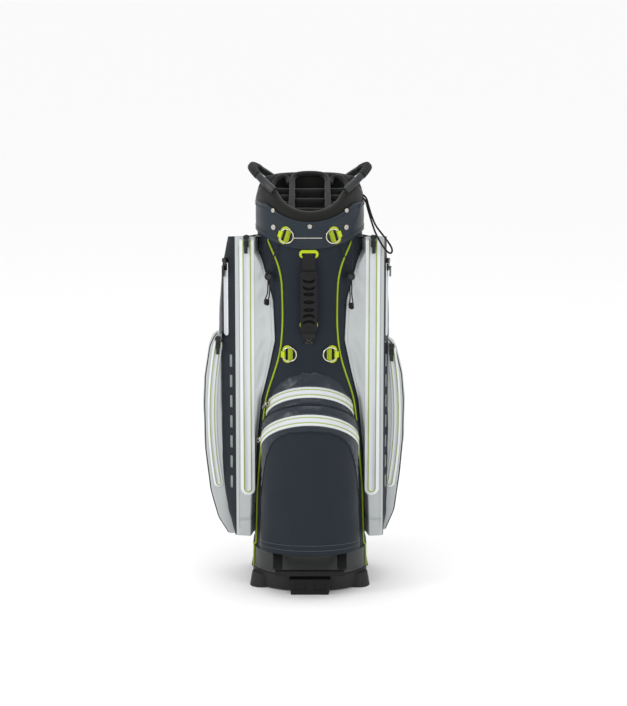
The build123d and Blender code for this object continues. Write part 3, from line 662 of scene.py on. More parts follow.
def rim_padding():
    rim = Piece()
    rim.grid(rim_rows(), wrap=True, close=True)
    put(rim, "rim_padding", [BLACK_MESH], "rim_pad")


def wall_top(y):
    return 792 + (y + 130) * 74 / 260


def reach_x(y):
    """Half width of the mouth at y."""
    w, d, r = PAD_INNER
    over = max(abs(y) - (d / 2 - r), 0)
    return w / 2 - r + math.sqrt(max(r * r - over * over, 0))


def padded_wall(piece, a, b):
    """Divider between two places (x, y), with a padded roll along its sloping top."""
    half, roll = WALL_HALF, ROLL_HALF
    a, b = np.array(a, float), np.array(b, float)
    along = (b - a) / np.linalg.norm(b - a)
    across = np.array([along[1], -along[0]])
    rows = []
    for t in np.linspace(0, 1, max(4, int(np.linalg.norm(b - a) / 12))):
        x, y = a + (b - a) * t
        top = wall_top(y) - 1.0 + 0.8 * wrinkle(x, y, 0, 20)
        ring = [(half, 42), (half, top - 30), (roll, top - 9), (roll * 0.8, top - 3), (0, top),
                (-roll * 0.8, top - 3), (-roll, top - 9), (-half, top - 30), (-half, 42)]
        rows.append([(x + across[0] * o, y + across[1] * o, z) for o, z in ring])
    piece.grid(rows, wrap=True, caps=(True, True))


def divider_pads():
    walls = Piece()
    for s in (-1, 1):
        padded_wall(walls, (s * WELL_X, -93), (s * WELL_X, 93))
        for y in SIDE_WALLS:
            padded_wall(walls, (s * (WELL_X + 3), y), (s * (reach_x(y) - 1.0), y))
    for y in MIDDLE_WALLS:
        padded_wall(walls, (-WELL_X + 3, y), (WELL_X - 3, y))
    put(walls, "divider_pads", [BLACK_MESH], "divider_walls")


def rim_arches():
    arches = Piece()
    half_arch = [(-40, -86, 806), (-39, -50, 818), (-38, 0, 834), (-38, 50, 850), (-37, 76, 860),
                 (-30, 88, 866.5), (-16, 91, 869), (0, 92, 869.5)]
    arch = spline(half_arch + [(-x, y, z) for x, y, z in half_arch[-2::-1]], 5.0)
    arches.tube(arch, 6.0, sides=12, flat=0.8)
    for s in (-1, 1):
        side_arch = spline([(s * 44, 60, 850), (s * 47, 80, 859), (s * 56, 84, 864), (s * 68, 76, 862),
                            (s * 78, 58, 852), (s * 82, 30, 842)], 5.0)
        arches.tube(side_arch, 5.0, sides=12, flat=0.8)
    rows = []
    for z in np.linspace(775, 864, 14):
        half = 34 * math.sqrt(max(0.05, 1 - max(0, (z - 845) / 24) ** 2))
        rows.append([(x, 96.5 - 2.5 * math.cos(x / 34 * 1.4) - 0.02 * (z - 775), z)
                     for x in np.linspace(-half, half, 17)])
    back = [[(x, y + 2.2, z) for x, y, z in row] for row in rows]
    ring = [list(r) + list(b)[::-1] for r, b in zip(rows, back)]
    arches.grid(ring, wrap=True, caps=(True, True))
    put(arches, "rim_arches", [BLACK_MESH])


# --- carried-over hard parts ---
FINISH = {
    "base_moulding": RUBBER, "base_front_foot": GRIP, "base_floor": PLASTIC, "top_ring": PLASTIC,
    "frame_stays": SPRING, "side_handles": SATIN, "collar_rivets": NICKEL, "collar_screws": NICKEL,
    "ring_tabs": LIME_PLASTIC, "front_handle_loops": LIME_PLASTIC, "front_handle_grip": GRIP,
    "lift_handle_grip": GRIP, "zip_garages": GLOSS_BLACK,
    "cord_lock_left": PLASTIC, "cord_lock_right": PLASTIC,
    "cord_lock_button_left": SATIN, "cord_lock_button_right": SATIN,
    "front_upper_slider": NICKEL, "front_lower_slider": NICKEL,
    "front_upper_pull": NICKEL, "front_lower_pull": GLOSS_BLACK,
}


def finish_hard_parts():
    for name, node in NODES.items():
        finish = FINISH.get(name)
        if name.endswith("_ring") and name != "top_ring":
            finish = CHROME
        elif name.endswith(("_slider", "_pull")) and not name.startswith("front"):
            finish = GLOSS_BLACK
        if finish:
            node.data.materials.clear()
            node.data.materials.append(finish)


# --- side pockets ---
# Outer |x| against z, and plans (|x|, y) from the front corner round to the tube.
LEFT_X = [(109, 160), (160, 176), (260, 190), (400, 196), (540, 196), (604, 192), (691, 184), (757, 171)]
RIGHT_X = [(109, 157), (160, 167), (260, 170), (400, 171), (540, 171), (604, 168), (691, 163), (757, 161)]
LEFT_PLAN = [(155, -73.8), (157, -72), (160, -69.5), (168, -62), (178, -51), (186, -41), (190, -30),
             (193, -15), (195, 0), (195.5, 20), (194, 45), (190, 56), (182, 68), (172, 80), (158, 86),
             (140, 89), (122, 93), (108, 95), (96, 96.5)]
RIGHT_PLAN = [(155, -73.8), (156, -71.5), (157.5, -68), (160, -60), (163, -50), (166, -40), (168, -25),
              (169, -12), (170, 0), (170.5, 20), (169, 45), (166, 54), (159, 67), (150, 80), (140, 84),
              (128, 89), (116, 93), (106, 95), (96, 96.5)]
SIDE_BACK = [(108, 70), (140, 96), (712, 96), (757, -72)]
FACE_INNER = (100.0, -84.0)
FACE_OUTER = (155.0, -74.0)
FACE_ZIP_X = 132.0
BOTTOM_X = 135
OVER_TUBE = 0.9
FRONT_COLUMNS = 22
TUBE_COLUMNS = 14


def plane_y(x):
    """The flat front of a side pocket, where its zip lies."""
    slope_x, slope_y = FACE_OUTER[0] - FACE_INNER[0], FACE_OUTER[1] - FACE_INNER[1]
    return FACE_INNER[1] + (x - FACE_INNER[0]) * slope_y / slope_x


def run_of_y(size, y):
    """Run along a rounded rectangle's right side where it reaches y."""
    w, d, r = size
    cx, cy, quarter = w / 2 - r, d / 2 - r, r * math.pi / 2
    if y < -cy:
        return cx + r * math.acos(min(1.0, (-y - cy) / r))
    if y <= cy:
        return cx + quarter + (y + cy)
    return cx + quarter + 2 * cy + r * math.asin(min(1.0, (y - cy) / r))


def side_ring(sign, z, outer_x, plan):
    """Section of a side pocket: front face, corner, side and back, then along the tube."""
    size = size_at(z)
    half = size[0] / 2
    edge = min(table(SILVER_EDGE, z), half - 0.6)
    start = on_tube(edge, z, OVER_TUBE)[0]
    limit = table(outer_x, z)
    back = table(SIDE_BACK, z)
    ring = []
    for i in range(FRONT_COLUMNS):
        x = edge + (152 - edge) * i / FRONT_COLUMNS
        flat = plane_y(x)
        if start.y > flat:
            flat = start.y + (flat - start.y) * ease((x - edge) / 9)
        on_front = x < half - 1
        y = soft_min(on_tube(x, z, OVER_TUBE)[0].y, flat, 6) if on_front else flat
        depth = ease((x - edge) / 14) * ease((116 - x) / 12)
        fold = wrinkle(x + z * 0.55, z * 0.25, 3, 13) + 0.6 * wrinkle(x + z * 0.8, z * 0.3, 9, 7)
        near_top = 1 + 1.2 * ease((z - 690) / 50)
        y += 4.6 * near_top * depth * fold + 0.7 * ease((x - 148) / 6) * wrinkle(x, z, 5, 22)
        if on_front:
            y = min(y, on_tube(x, z, OVER_TUBE)[0].y)
        ring.append((x, y))
    for i, (x, y) in enumerate(plan):
        x = soft_min(x, limit, 5) if i > 2 else x
        y = min(y, back)
        fold = wrinkle(y * 0.9, z * 0.22, 7, 24) + 0.5 * wrinkle(y, z * 0.5, 1, 11)
        x += 1.6 * fold * ease((i - 2) / 3) * ease((len(plan) - i) / 4)
        ring.append((x, y))
    last = run_of_y(size, min(97.0, back + 1))
    first = run_of(size, edge)
    for k in range(TUBE_COLUMNS):
        run = last + (first - last) * k / (TUBE_COLUMNS - 1)
        (x, y), _ = around(size, run, 0.2 if k < TUBE_COLUMNS - 1 else 0.1)
        ring.append((x, y))
    return [(sign * x, y, z) for x, y in ring]


def side_pocket(name, sign, outer_x, plan):
    """One side pocket's cover; gives back its rows of points for the trim."""
    piece = Piece()
    heights = np.concatenate([[108.5, 110, 113], np.linspace(117, 752, 100), [755, 757]])
    rows = [side_ring(sign, z, outer_x, plan) for z in heights]
    rows[0] = [(x + (sign * BOTTOM_X - x) * 0.03, y * 0.96, z) for x, y, z in rows[0]]
    columns = [0] * (FRONT_COLUMNS + 1) + [1] * 4 + [2] * 9
    columns += [3] * (len(rows[0]) - len(columns))
    piece.grid(rows, wrap=True, columns=columns, caps=(True, True))
    put(piece, name + "_fabric", [SILVER, DEEP_NAVY, DARK_SIDE, NAVY_SIDE], name)
    return rows


def on_face(sign, x, z, out):
    """Point and normal on a side pocket's flat front."""
    slope_x, slope_y = FACE_OUTER[0] - FACE_INNER[0], FACE_OUTER[1] - FACE_INNER[1]
    n = Vector((sign * slope_y, -slope_x, 0)).normalized()
    return Vector((sign * x, plane_y(x), z)) + n * out, n


# Half a zip tape: across, out and material (0 tape, 1 strip, 2 lime cord).
ZIP_HALF = [(0, 1.25, 1), (0.6, 1.05, 1), (1.4, 1.45, 1), (6.6, 1.45, 2), (7.1, 2.4, 2), (8.3, 2.4, 2),
            (8.9, 1.35, 0), (14.3, 1.15, 0), (15.3, 0.8, 0), (15.5, 0.0, 0), (0, 0.0, 0)]


def hairpin_tape(piece, line, normals, scale=1.0, cords=True):
    """Zip tape whose two lime cords join round its lower end."""
    profile = [(a * scale, o, s if cords or s != 2 else 1) for a, o, s in ZIP_HALF]
    line, normals = [np.array(p, float) for p in line], [np.array(n, float) for n in normals]
    rows = []

    def row(p, n, d):
        rows.append([p + d * a + n * o for a, o, _ in profile])

    sides = []
    for i in range(len(line)):
        t = line[min(i + 1, len(line) - 1)] - line[max(i - 1, 0)]
        t = t / np.linalg.norm(t)
        sides.append((t, np.cross(t, normals[i])))
        row(line[i], normals[i], sides[-1][1])
    t, d = sides[-1]
    for a in np.linspace(0, math.pi, 17)[1:-1]:
        row(line[-1], normals[-1], d * math.cos(a) + t * math.sin(a))
    for i in range(len(line) - 1, -1, -1):
        row(line[i], normals[i], -sides[i][1])
    base = len(piece.points)
    nc = len(profile)
    piece.grid(rows, columns=[s for _, _, s in profile])
    end = base + (len(rows) - 1) * nc
    piece.cap([base + j for j in range(nc)] + [end + j for j in range(nc - 1, -1, -1)], 0)


BAND_HALF, BAND_CORD = 12.5, 6.2


def flat_tape(piece, line, normals):
    """Zip tape with both ends tucked in."""
    half, k = BAND_HALF, BAND_CORD
    top = [(-half, 0.9, 0), (-k - 0.9, 1.2, 2), (-k - 0.6, 2.3, 2), (-k + 0.6, 2.3, 2), (-k + 0.9, 1.4, 1),
           (-1.2, 1.45, 1), (-0.5, 1.0, 1), (0.5, 1.0, 1), (1.2, 1.45, 1), (k - 0.9, 1.4, 2),
           (k - 0.6, 2.3, 2), (k + 0.6, 2.3, 2), (k + 0.9, 1.2, 0), (half, 0.9, 0), (half + 0.2, 0, 0),
           (-half - 0.2, 0, 0)]
    piece.band(line, normals, top)


def side_pockets():
    sides = {}
    for name, sign, outer_x, plan in (("left_pocket", -1, LEFT_X, LEFT_PLAN),
                                      ("right_pocket", 1, RIGHT_X, RIGHT_PLAN)):
        sides[sign] = side_pocket(name, sign, outer_x, plan)
    return sides


def face_zips(tapes):
    for sign in (-1, 1):
        places = [on_face(sign, FACE_ZIP_X, z, 0.1) for z in np.linspace(752, 215, 92)]
        hairpin_tape(tapes, [p for p, _ in places], [n for _, n in places])


def side_trim(sides):
    """Piping and stitches of both side pockets."""
    trim = Piece()
    stitching = Piece()
    for sign in (-1, 1):
        rows = sides[sign]
        corner = [rows[i][FRONT_COLUMNS + 1] for i in range(3, len(rows) - 2)]
        trim.tube(spaced(corner, 5), 1.5)
        back_line = [rows[i][FRONT_COLUMNS + 13] for i in range(3, len(rows) - 14)]
        trim.tube(spaced(back_line, 6), 1.6)
        seam = [rows[i][0] for i in range(4, len(rows) - 3)]
        trim.tube(spaced(seam, 5), 1.1)
        for column in (2, FRONT_COLUMNS - 1):
            line = spaced([rows[i][column] for i in range(4, len(rows) - 4)], 5)
            stitching.stitches(line, [(0, -1, 0)] * len(line), pitch=4.4)
        for lift in (0.0, 4.0):
            level = [rows[9][j] for j in range(1, FRONT_COLUMNS + 1)]
            line = [(x, y - 0.2, 150 + lift + (abs(x) - 100) * -0.14) for x, y, z in level]
            stitching.stitches(line, [(0, -1, 0)] * len(line), pitch=4.4)
    trim.make("side_piping", [PIPE_BLACK])
    stitching.make("side_stitches", [GREY_THREAD])


# --- outer side pockets ---
OUTER_LEFT_X = [(104, 178), (140, 200), (200, 216), (290, 226), (390, 228), (450, 226), (515, 216),
                (535, 208), (546, 199)]
OUTER_RIGHT_X = [(112, 166), (155, 184), (235, 195), (320, 202), (400, 203), (455, 199), (505, 187),
                 (525, 177), (533, 168)]


# For each side: |x| where the gusset zip stands out furthest, and z of its upper end.
GUSSET_ZIP = {-1: (209.0, 527), 1: (185.0, 512)}
GUSSET_SCALE = 0.63


def outer_ring(sign, z, outer_x, host_x, top):
    """Section of an outer pocket: gusset, outer face, then hidden inside the side pocket."""
    far = table(outer_x, z)
    near = min(table(host_x, z) - 7, far - 9)
    back = 76.0
    if z > top - 66:
        back = 76 - 16 * ease((z - (top - 66)) / 40)
    if z > top - 28:
        back = 60 - (z - (top - 28)) / 28 * 78
    if z < 180:
        back = 50 + (z - 100) / 80 * 26
    ring = []
    for i in range(10):
        x = near + (far - 5 - near) * i / 9
        y = GUSSET_Y + 0.6 * wrinkle(x, z, 4, 26) * (1 - math.sin(math.pi * i / 9))
        ring.append((x, y))
    swell = 1.6 * math.sin(math.pi * min(1, max(0, (z - 104) / (top - 104))))
    for dx, y in ((-2.6, -36), (-0.8, -31), (0, -22), (0.6, -10), (0.8, 5), (0.6, 20), (-0.5, 34),
                  (-3, 46), (-8, 57), (-16, 65), (-27, 70), (-39, 73)):
        x = max(near, far + dx + (swell if -25 < y < 50 else 0.4 * swell) - 1.2)
        x += 1.5 * wrinkle(y, z * 0.4, 2, 20) * ease((y + 34) / 12)
        ring.append((x, min(y, back)))
    ring.append((near, min(74, back)))
    for k in range(3):
        ring.append((near - 2, min(50, back - 5) - 26 * k))
    return [(sign * x, y, z) for x, y in ring]


def outer_pocket(name, sign, outer_x, host_x):
    low, top = outer_x[0][0], outer_x[-1][0]
    heights = np.concatenate([[low, low + 2], np.linspace(low + 6, top - 4, 66), [top - 1.5, top]])
    rows = [outer_ring(sign, z, outer_x, host_x, top) for z in heights]
    piece = Piece()
    columns = [0] * 9 + [1] * (len(rows[0]) - 9)
    piece.grid(rows, wrap=True, columns=columns, caps=(True, True))
    put(piece, name + "_fabric", [SILVER, PALE], name)
    return rows


def outer_pockets(tapes):
    """Both outer pockets with their piping; their zips go into tapes."""
    edges = Piece()
    for name, sign, outer_x, host_x in (("left_outer_pocket", -1, OUTER_LEFT_X, LEFT_X),
                                        ("right_outer_pocket", 1, OUTER_RIGHT_X, RIGHT_X)):
        rows = outer_pocket(name, sign, outer_x, host_x)
        edges.tube(spaced([rows[i][10] for i in range(1, len(rows) - 1)], 5), 1.5)
        edges.tube(spaced([rows[i][19] for i in range(1, len(rows) - 4)], 6), 1.5)
        widest, zip_top = GUSSET_ZIP[sign]
        centre = sign * (widest - GUSSET_ARC)
        line = []
        for z in np.arange(zip_top, 214, -5.0):
            x = centre + sign * math.sqrt(GUSSET_ARC ** 2 - (z - 365) ** 2)
            line.append((x, GUSSET_Y - 0.5, z))
        hairpin_tape(tapes, line, [(0, -1, 0)] * len(line), GUSSET_SCALE)
    edges.make("outer_pocket_piping", [PIPE_BLACK])


PANEL_REAR = {-1: (188, -40), 1: (166, -40)}
PANEL_ZIP_X = {-1: 176.0, 1: 161.0}
PANEL_SCALE = 0.42


def on_panel(sign, x, z):
    """Point and normal of the slanted panel beside the front corner."""
    (x0, y0), (x1, y1) = FACE_OUTER, PANEL_REAR[sign]
    n = Vector((sign * (y1 - y0), -(x1 - x0), 0)).normalized()
    return Vector((sign * x, y0 + (y1 - y0) * (x - x0) / (x1 - x0), z)), n


def panel_zips(tapes):
    for sign in (-1, 1):
        places = [on_panel(sign, PANEL_ZIP_X[sign], z) for z in np.arange(699, 548, -5.0)]
        line = [p + n * 0.9 for p, n in places]
        hairpin_tape(tapes, line, [n for _, n in places], PANEL_SCALE, cords=False)


def side_parts():
    """Both side pockets, their trim, the outer pockets and all six side zips."""
    sides = side_pockets()
    tapes = Piece()
    face_zips(tapes)
    side_trim(sides)
    outer_pockets(tapes)
    panel_zips(tapes)
    put(tapes, "side_zip_bands", [WHITE, LAVENDER, LIME], "side_zip_tapes", merge=True)


# --- front pockets ---
ARC_TILT = math.radians(40)
SIN_ARC, COS_ARC = math.sin(ARC_TILT), math.cos(ARC_TILT)
ALONG = Vector((0, SIN_ARC, COS_ARC))
ARC_STEPS = 60
STRAIGHT = 70           # straight sides behind each arc
BAND_LIFTS = (-12.5, -8, 0, 8, 12.5)
WALL_FOOT = 98.0
WALL_ROWS = 76
LOWER_SEAM = 37
DOME_LEAN = math.radians(22)


def arc_point(arc, phi, out=0.0, lift=0.0):
    """Point on a front pocket's leaning arc; phi runs from 0 at the left to pi at the right."""
    radius, yc, zc = arc
    radial = Vector((-math.cos(phi), -COS_ARC * math.sin(phi), SIN_ARC * math.sin(phi)))
    return Vector((0, yc, zc)) + radial * (radius + out) + ALONG * lift, radial


def arc_line(arc, tail, lift=0.0, out=0.0):
    """The arc with its straight sides, as points and outward normals."""
    back = Vector((0, COS_ARC, -SIN_ARC))
    points, normals = [], []
    left, side = arc_point(arc, 0, out, lift)
    for t in np.linspace(tail, 4, max(3, int(tail / 5))):
        points.append(left + back * t)
        normals.append(side)
    for phi in np.linspace(0, math.pi, ARC_STEPS + 1):
        p, n = arc_point(arc, phi, out, lift)
        points.append(p)
        normals.append(n)
    right, side = arc_point(arc, math.pi, out, lift)
    for t in np.linspace(4, tail, max(3, int(tail / 5))):
        points.append(right + back * t)
        normals.append(side)
    return points, normals


PANEL_EDGE = [(0, 366), (40, 362), (60, 354), (75, 341), (84, 326), (91, 305), (96, 280), (100, 245),
              (103, 200), (106, 110), (110, 90)]


def panel_top(x):
    """Height of the matt panel's arched top."""
    return table(PANEL_EDGE, abs(x))


def pocket_wall():
    """Upright wall of the lower pocket, then its leaning zip band and shoulder."""
    piece = Piece()
    arc = LOWER_ARC
    line, normals = arc_line(arc, STRAIGHT, lift=-13)
    rows = []
    for t in np.linspace(0, 1, WALL_ROWS):
        row = []
        for i, p in enumerate(line):
            z = WALL_FOOT + (p.z - WALL_FOOT) * t
            x = p.x * (1 + 0.045 * (1 - t) ** 2)
            y = p.y
            if p.y < -115:
                bulge = 2.0 * math.sin(math.pi * t)
                y -= bulge * ease((-118 - p.y) / 20)
            fold = wrinkle(p.x * 0.9, z * 0.7, 6, 22)
            glossy = ease((z - panel_top(x)) / 8)
            crinkled = wrinkle(p.x * 1.1, z, 2, 9)
            push = 0.7 * fold + glossy * 1.6 * crinkled
            push *= ease(t / 0.04) * ease((1 - t) / 0.05)
            row.append((x + normals[i].x * push, y + normals[i].y * push * 1.2, z))
        rows.append(row)
    for d in BAND_LIFTS:
        rows.append(arc_line(arc, STRAIGHT, lift=d)[0])
    for d in (14, 17, 21, 25, 29, 33, 36):
        swell = 1.2 * math.sin(math.pi * (d - 13) / 24)
        upper, norms = arc_line(arc, STRAIGHT, lift=d, out=swell)
        rows.append([p + q * 1.1 * wrinkle(p.x, p.z, d * 0.2, 13) for p, q in zip(upper, norms)])
    rows.append(arc_line(arc, STRAIGHT, lift=LOWER_SEAM, out=-2.0)[0])
    rows.append(arc_line((arc[0] - 14, arc[1], arc[2]), STRAIGHT, lift=LOWER_SEAM + 2)[0])
    slots = []
    for r, row in enumerate(rows[:-1]):
        for x, y, z in row[:-1]:
            matt = r < WALL_ROWS - 1 and z < panel_top(x) and y < -124
            slots.append(0 if matt else 1)
    return piece, rows, slots


def upper_shell():
    """Upper pocket: zip band, then a dome sloping back to the tube."""
    piece = Piece()
    arc = UPPER_ARC
    rows = []
    for d in (-28.3, -24, -20, -16, -13.2):
        swell = 0.8 * math.sin(math.pi * (d + 28.3) / 15)
        line, norms = arc_line(arc, STRAIGHT, lift=d, out=swell)
        rows.append([p + q * 0.9 * wrinkle(p.x, p.z, d * 0.2, 12) for p, q in zip(line, norms)])
    for d in BAND_LIFTS:
        rows.append(arc_line(arc, STRAIGHT, lift=d)[0])
    edge, norms = arc_line(arc, STRAIGHT, lift=13)
    lean = Vector((0, math.sin(DOME_LEAN), math.cos(DOME_LEAN)))
    for t in np.linspace(0.04, 1, 26):
        row = []
        for p, q in zip(edge, norms):
            rise = (42 * t) * ease((p.z - 330) / 60) + 4 * t
            inward = 26 * t ** 1.5
            point = p + lean * rise - q * inward * 0.5
            point = point + q * (3.2 * math.sin(math.pi * t))
            fold = wrinkle(p.x, p.z * 0.6 + 40 * t, 8, 15) * math.sin(math.pi * t)
            row.append(point + q * 2.2 * fold)
        rows.append(row)
    return piece, rows


def fabric_shell(name, piece, rows, slots, materials, node):
    """Open sheet of cloth with a thickness, standing for a pocket."""
    piece.grid(rows)
    if slots:
        piece.slots = slots
    obj = piece.make(name, materials)
    solid = obj.modifiers.new("cloth thickness", "SOLIDIFY")
    solid.thickness = 0.002
    solid.offset = -1
    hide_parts(node)
    return obj


def front_zips():
    tapes = Piece()
    for arc in (UPPER_ARC, LOWER_ARC):
        line, normals = arc_line(arc, 60, out=0.4)
        flat_tape(tapes, line, normals)
    put(tapes, "front_zip_bands", [WHITE, LAVENDER, LIME], "front_zip_tapes",
        merge=True)


def panel_outline(rows):
    """Points of the lower pocket's wall that lie nearest the matt panel's edge."""
    edge = []
    for i in range(len(rows[0])):
        column = [Vector(row[i]) for row in rows[:WALL_ROWS]]
        z = panel_top(column[40].x)
        best = min(range(WALL_ROWS), key=lambda r: abs(column[r].z - z))
        if 0 < best < WALL_ROWS - 2 and column[best].y < -100:
            edge.append(column[best])
    return edge


def front_trim(rows):
    """Piping and stitches of both front pockets."""
    trim = Piece()
    threads = Piece()
    seam, _ = arc_line(LOWER_ARC, 60, lift=LOWER_SEAM, out=-0.5)
    trim.tube(spaced(seam, 5), 2.0)
    for arc in (UPPER_ARC, LOWER_ARC):
        for lift in (-14.5, 14.5):
            line, normals = arc_line(arc, 56, lift=lift, out=1.2)
            threads.stitches(line, normals, pitch=4.2)
    trim.tube(spaced(spline(panel_outline(rows), 4), 4), 1.3)
    for row in (3, 6):
        line = [Vector(p) + Vector((0, -0.6, 0)) for p in rows[row][14:-14]]
        line = spaced(line, 3)
        threads.stitches(line, [(0, -1, 0)] * len(line), pitch=4.2)
    trim.make("front_piping", [PIPE_BLACK])
    threads.make("front_stitches", [GREY_THREAD])


def front_parts():
    piece, rows, slots = pocket_wall()
    fabric_shell("front_lower_fabric", piece, rows, slots, [MATT, GLOSSY], "front_lower_pocket")
    piece, upper_rows = upper_shell()
    fabric_shell("front_upper_fabric", piece, upper_rows, None, [GLOSSY], "front_upper_pocket")
    front_zips()
    front_trim(rows)


# --- base band, sleeves, webbing and strap ---
HALF_RING = 60


def full_ring(z, out):
    """Ring round the tube at a height, a distance outside its surface."""
    size = size_at(max(z, TUBE_Z[0]))
    right = []
    for run in np.linspace(0, half_run(size), HALF_RING):
        (x, y), _ = around(size, run, out)
        right.append((x, y, z))
    return right + [(-x, y, z) for x, y, z in right[-2:0:-1]]


def base_band():
    band = Piece()
    profile = [(35.3, 0.4), (35.3, 2.7), (37, 3.1), (52, 3.0), (66, 3.0), (79, 3.1), (81.6, 2.7),
               (82, 0.4)]
    band.grid([full_ring(z, out) for z, out in profile], wrap=True, close=True)
    for z in (39.5, 78.0):
        line = [Vector(p) for p in full_ring(z, 3.1)[:HALF_RING]]
        for mirror in (1, -1):
            side = [(mirror * p.x, p.y, p.z) for p in line]
            band.stitches(side, [Vector((p[0], p[1], 0)).normalized() for p in side], slot=1, pitch=4.4)
    put(band, "base_band_soft", [BAND, GREY_THREAD], "base_band")


HANDLE_FOOT = (84.0, 89.0, 864.0)
HANDLE_RISE = (37.0, 30.0)
SLEEVE_END = math.radians(34.8)
SLEEVE_ROWS = 86


def handle_arc(sign, angle):
    """Point on a side handle's arc, and the two directions across it."""
    out = math.hypot(*HANDLE_RISE)
    radius = (HANDLE_FOOT[1] ** 2 + out ** 2) / (2 * out)
    e = Vector((-HANDLE_RISE[0], 0, HANDLE_RISE[1])).normalized()
    centre = Vector((-HANDLE_FOOT[0], 0, HANDLE_FOOT[2])) + e * (out - radius)
    radial = e * math.cos(angle) + Vector((0, math.sin(angle), 0))
    p = centre + radial * radius
    flat = e.cross(Vector((0, 1, 0)))
    if sign > 0:
        p.x, radial.x, flat.x = -p.x, -radial.x, -flat.x
    return p, radial, flat


def handle_sleeves():
    sleeves = Piece()
    for sign in (-1, 1):
        rows = []
        for i, angle in enumerate(np.linspace(-SLEEVE_END, SLEEVE_END, SLEEVE_ROWS)):
            p, radial, flat = handle_arc(sign, angle)
            rib = 1.3 * (0.5 + 0.5 * math.cos(i * 2 * math.pi / 7))
            inset = 1.6 if i in (0, SLEEVE_ROWS - 1) else 0.0
            row = []
            for a in np.arange(24) * math.pi / 12:
                c, s = math.cos(a), math.sin(a)
                reach = (abs(c) ** 3 + abs(s) ** 3) ** (-1 / 3)
                high, wide = 9.6 - rib - inset, 8.7 - rib - inset
                row.append(p + radial * c * reach * high + flat * s * reach * wide)
            rows.append(row)
        sleeves.grid(rows, wrap=True, caps=(True, True))
    put(sleeves, "handle_sleeves_soft", [GRIP], "handle_sleeves")


def flat_webbing(piece, line, width, thick, x=0.0):
    """Webbing lying across x along a (y, z) line, facing away from the tube."""
    points = spline([(x, y, z) for y, z in line], 3)
    normals = []
    for i in range(len(points)):
        t = np.array(points[min(i + 1, len(points) - 1)]) - np.array(points[max(i - 1, 0)])
        normals.append(Vector((0, -t[2], t[1])).normalized())
    facing = 1 if np.mean([p[1] for p in points]) > 0 else -1
    normals = [n if n.y * facing > 0 else -n for n in normals]
    h, w = thick / 2, width / 2
    left = [(-w, -h), (-w - 0.3, 0), (-w, h), (-w + 1.4, h - 0.2), (-w * 0.5, h + 0.1)]
    piece.band(points, normals, left + [(-across, out) for across, out in left[::-1]])


def front_handle_webbing():
    front_web = Piece()
    y0 = -size_at(640)[1] / 2
    route = [(1.9, 725.5), (5.6, 721), (15.2, 700), (16, 694), (16, 640), (16, 572), (15.2, 562),
             (3.2, 550), (2.2, 544), (2.2, 537)]
    flat_webbing(front_web, [(y0 - out, z) for out, z in route], 26, 2.0, -2)
    cross = (((-11, 550), (7, 539)), ((-11, 539), (7, 550)), ((-12, 551), (8, 551)), ((-12, 538), (8, 538)))
    for a, b in cross:
        line = [(a[0] + (b[0] - a[0]) * t, y0 - 3.4, a[1] + (b[1] - a[1]) * t) for t in np.linspace(0, 1, 6)]
        front_web.stitches(line, [(0, -1, 0)] * 6, slot=1, pitch=3.4, length=2.6)
    put(front_web, "front_handle_webbing_soft", [WEBBING, GREY_THREAD],
        "front_handle_webbing")


def lift_handle_webbing():
    straps = Piece()
    for x in (-68, 68):
        flat_webbing(straps, [(-129, 88), (-143, 76), (-157, 63), (-164, 59)], 20, 2.2, x)
    put(straps, "lift_handle_webbing_soft", [WEBBING], "lift_handle_webbing",
        body="lift_handle")


def cord_knots():
    knots = Piece()
    for x, y, z in ((-90.2, -108.5, 624), (86.4, -108.5, 616)):
        for turn in range(3):
            loop = [(x + 4.3 * math.cos(a) * (1 - 0.2 * (turn == 1)), y + 2.9 * math.sin(a * 2 + turn),
                     z + (turn - 1) * 2.6 + 3.2 * math.sin(a)) for a in np.linspace(0, 2 * math.pi, 25)[:-1]]
            knots.tube(loop, 1.7, loop=True)
    put(knots, "cord_knots_soft", [BRAID], "cord_knots")


def ring_webbing():
    ring_web = Piece()
    for sign in (-1, 1):
        for x, z, lean in ((47.0, 765.0, -17.0), (41.5, 515.0, 0.0)):
            size = COLLAR_SIZE if z > 700 else size_at(z)
            y = -size[1] / 2 - 1.6
            tilt = math.radians(lean) * sign
            line = [(sign * x + dz * math.sin(tilt), y - 2.6 * math.exp(-(dz / 7) ** 2),
                     z + dz * math.cos(tilt)) for dz in np.linspace(-11, 11, 15)]
            ring_web.band(line, [(0, -1, 0)] * 15, [(-2.5, -1.1), (-2.5, 1.1), (2.5, 1.1), (2.5, -1.1)])
    put(ring_web, "ring_webbing_soft", [LIME], "ring_webbing")


def towel_keeper():
    keeper = Piece()
    loop = [(122.2 + 9 * math.cos(a), -74.8, 788 + 7 * math.sin(a))
            for a in np.linspace(0, 2 * math.pi, 33)[:-1]]
    keeper.tube(loop, 2.2, loop=True)
    put(keeper, "towel_keeper_soft", [WEBBING], "towel_keeper")


BACK_Y = size_at(500)[1] / 2 + 1.5


def strap_line(t):
    """Middle of the shoulder pad at t from its top to its bottom, as (y, z)."""
    return BACK_Y + 6 + 10 * ease(t / 0.13) * ease((1 - t) / 0.16), 690 - 340 * t


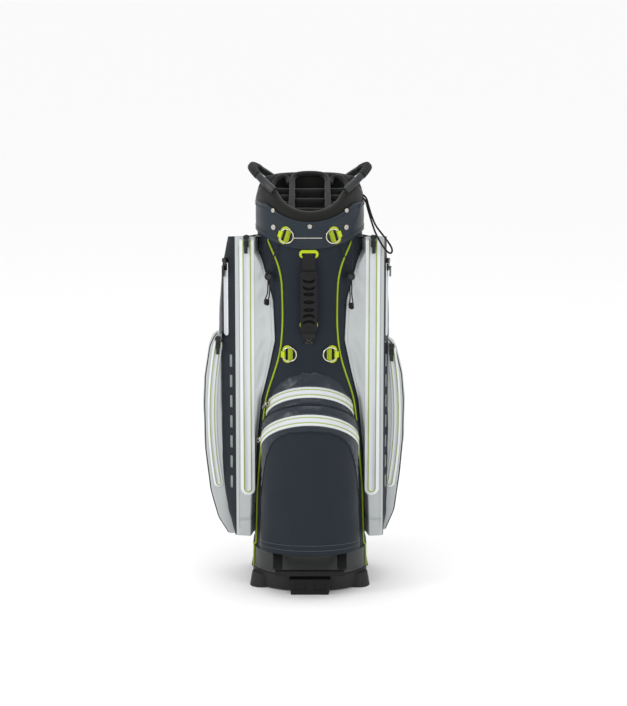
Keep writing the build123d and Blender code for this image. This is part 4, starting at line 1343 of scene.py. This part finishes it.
def shoulder_pad():
    strap = Piece()
    rows = []
    for t in np.linspace(0, 1, 90):
        lift, z = strap_line(t)
        end = min(1, ease(t / 0.03), ease((1 - t) / 0.03))
        thick = 3.0 + 2.2 * end
        row = []
        for a in np.arange(32) * math.pi / 16:
            c, s = math.cos(a), math.sin(a)
            w = (24 + 5 * end) * math.copysign(abs(c) ** 0.35, c)
            quilt = 1 - 0.22 * math.exp(-((abs(w) - 21) / 1.8) ** 2)
            h = thick * math.copysign(abs(s) ** 0.6, s) * quilt
            row.append((w, lift + h + 0.6 * wrinkle(w, z, 5, 18), z))
        rows.append(row)
    strap.grid(rows, wrap=True, caps=(True, True))
    for side in (-21, 21):
        line = [(side, strap_line(t)[0] + 4.2, strap_line(t)[1]) for t in np.linspace(0.03, 0.97, 60)]
        strap.stitches(line, [(0, 1, 0)] * 60, slot=1, pitch=5)
    put(strap, "shoulder_strap_soft", [BLACK_MESH, GREY_THREAD], "shoulder_strap")


def strap_webbing():
    tails = Piece()
    for route in ([(0.8, 735), (3, 715), (5.6, 688)], [(6, 352), (3.4, 300), (1.6, 250)]):
        flat_webbing(tails, [(BACK_Y + out, z) for out, z in route], 38, 2.4)
    put(tails, "strap_webbing", [WEBBING])


def side_print():
    """Plain dashes where the photo has lettering, one row on each side panel."""
    dashes = Piece()
    for sign, x in ((-1, 166.0), (1, 160.5)):
        for z in np.arange(490, 190, -44.0):
            p, n = on_panel(sign, x, z)
            line = [p + n * 1.6 + Vector((0, 0, dz)) for dz in (-13, 0, 13)]
            dashes.band(line, [n] * 3, [(-3.2, -1.6), (-3.2, 0.3), (3.2, 0.3), (3.2, -1.6)])
    dashes.make("side_print", [PRINT])


# --- build and finish ---
camera()
studio()
cord("shock_cord_left", LEFT_CORD, 2.6, 278.0, far_end="object", stiffness="limp", lay="hanging")
cord("shock_cord_right", RIGHT_CORD, 2.6, 287.8, far_end="object", stiffness="limp", lay="hanging")
cord("towel_loop", TOWEL_CORD, 4.0, 295.2, far_end="object", stiffness="medium", lay="hanging")
tube_cover()
tube_seams()
collar_cover()
collar_stitches()
collar_bar()
rim_padding()
divider_pads()
rim_arches()
finish_hard_parts()
side_parts()
front_parts()
base_band()
handle_sleeves()
front_handle_webbing()
lift_handle_webbing()
cord_knots()
ring_webbing()
towel_keeper()
shoulder_pad()
strap_webbing()
side_print()
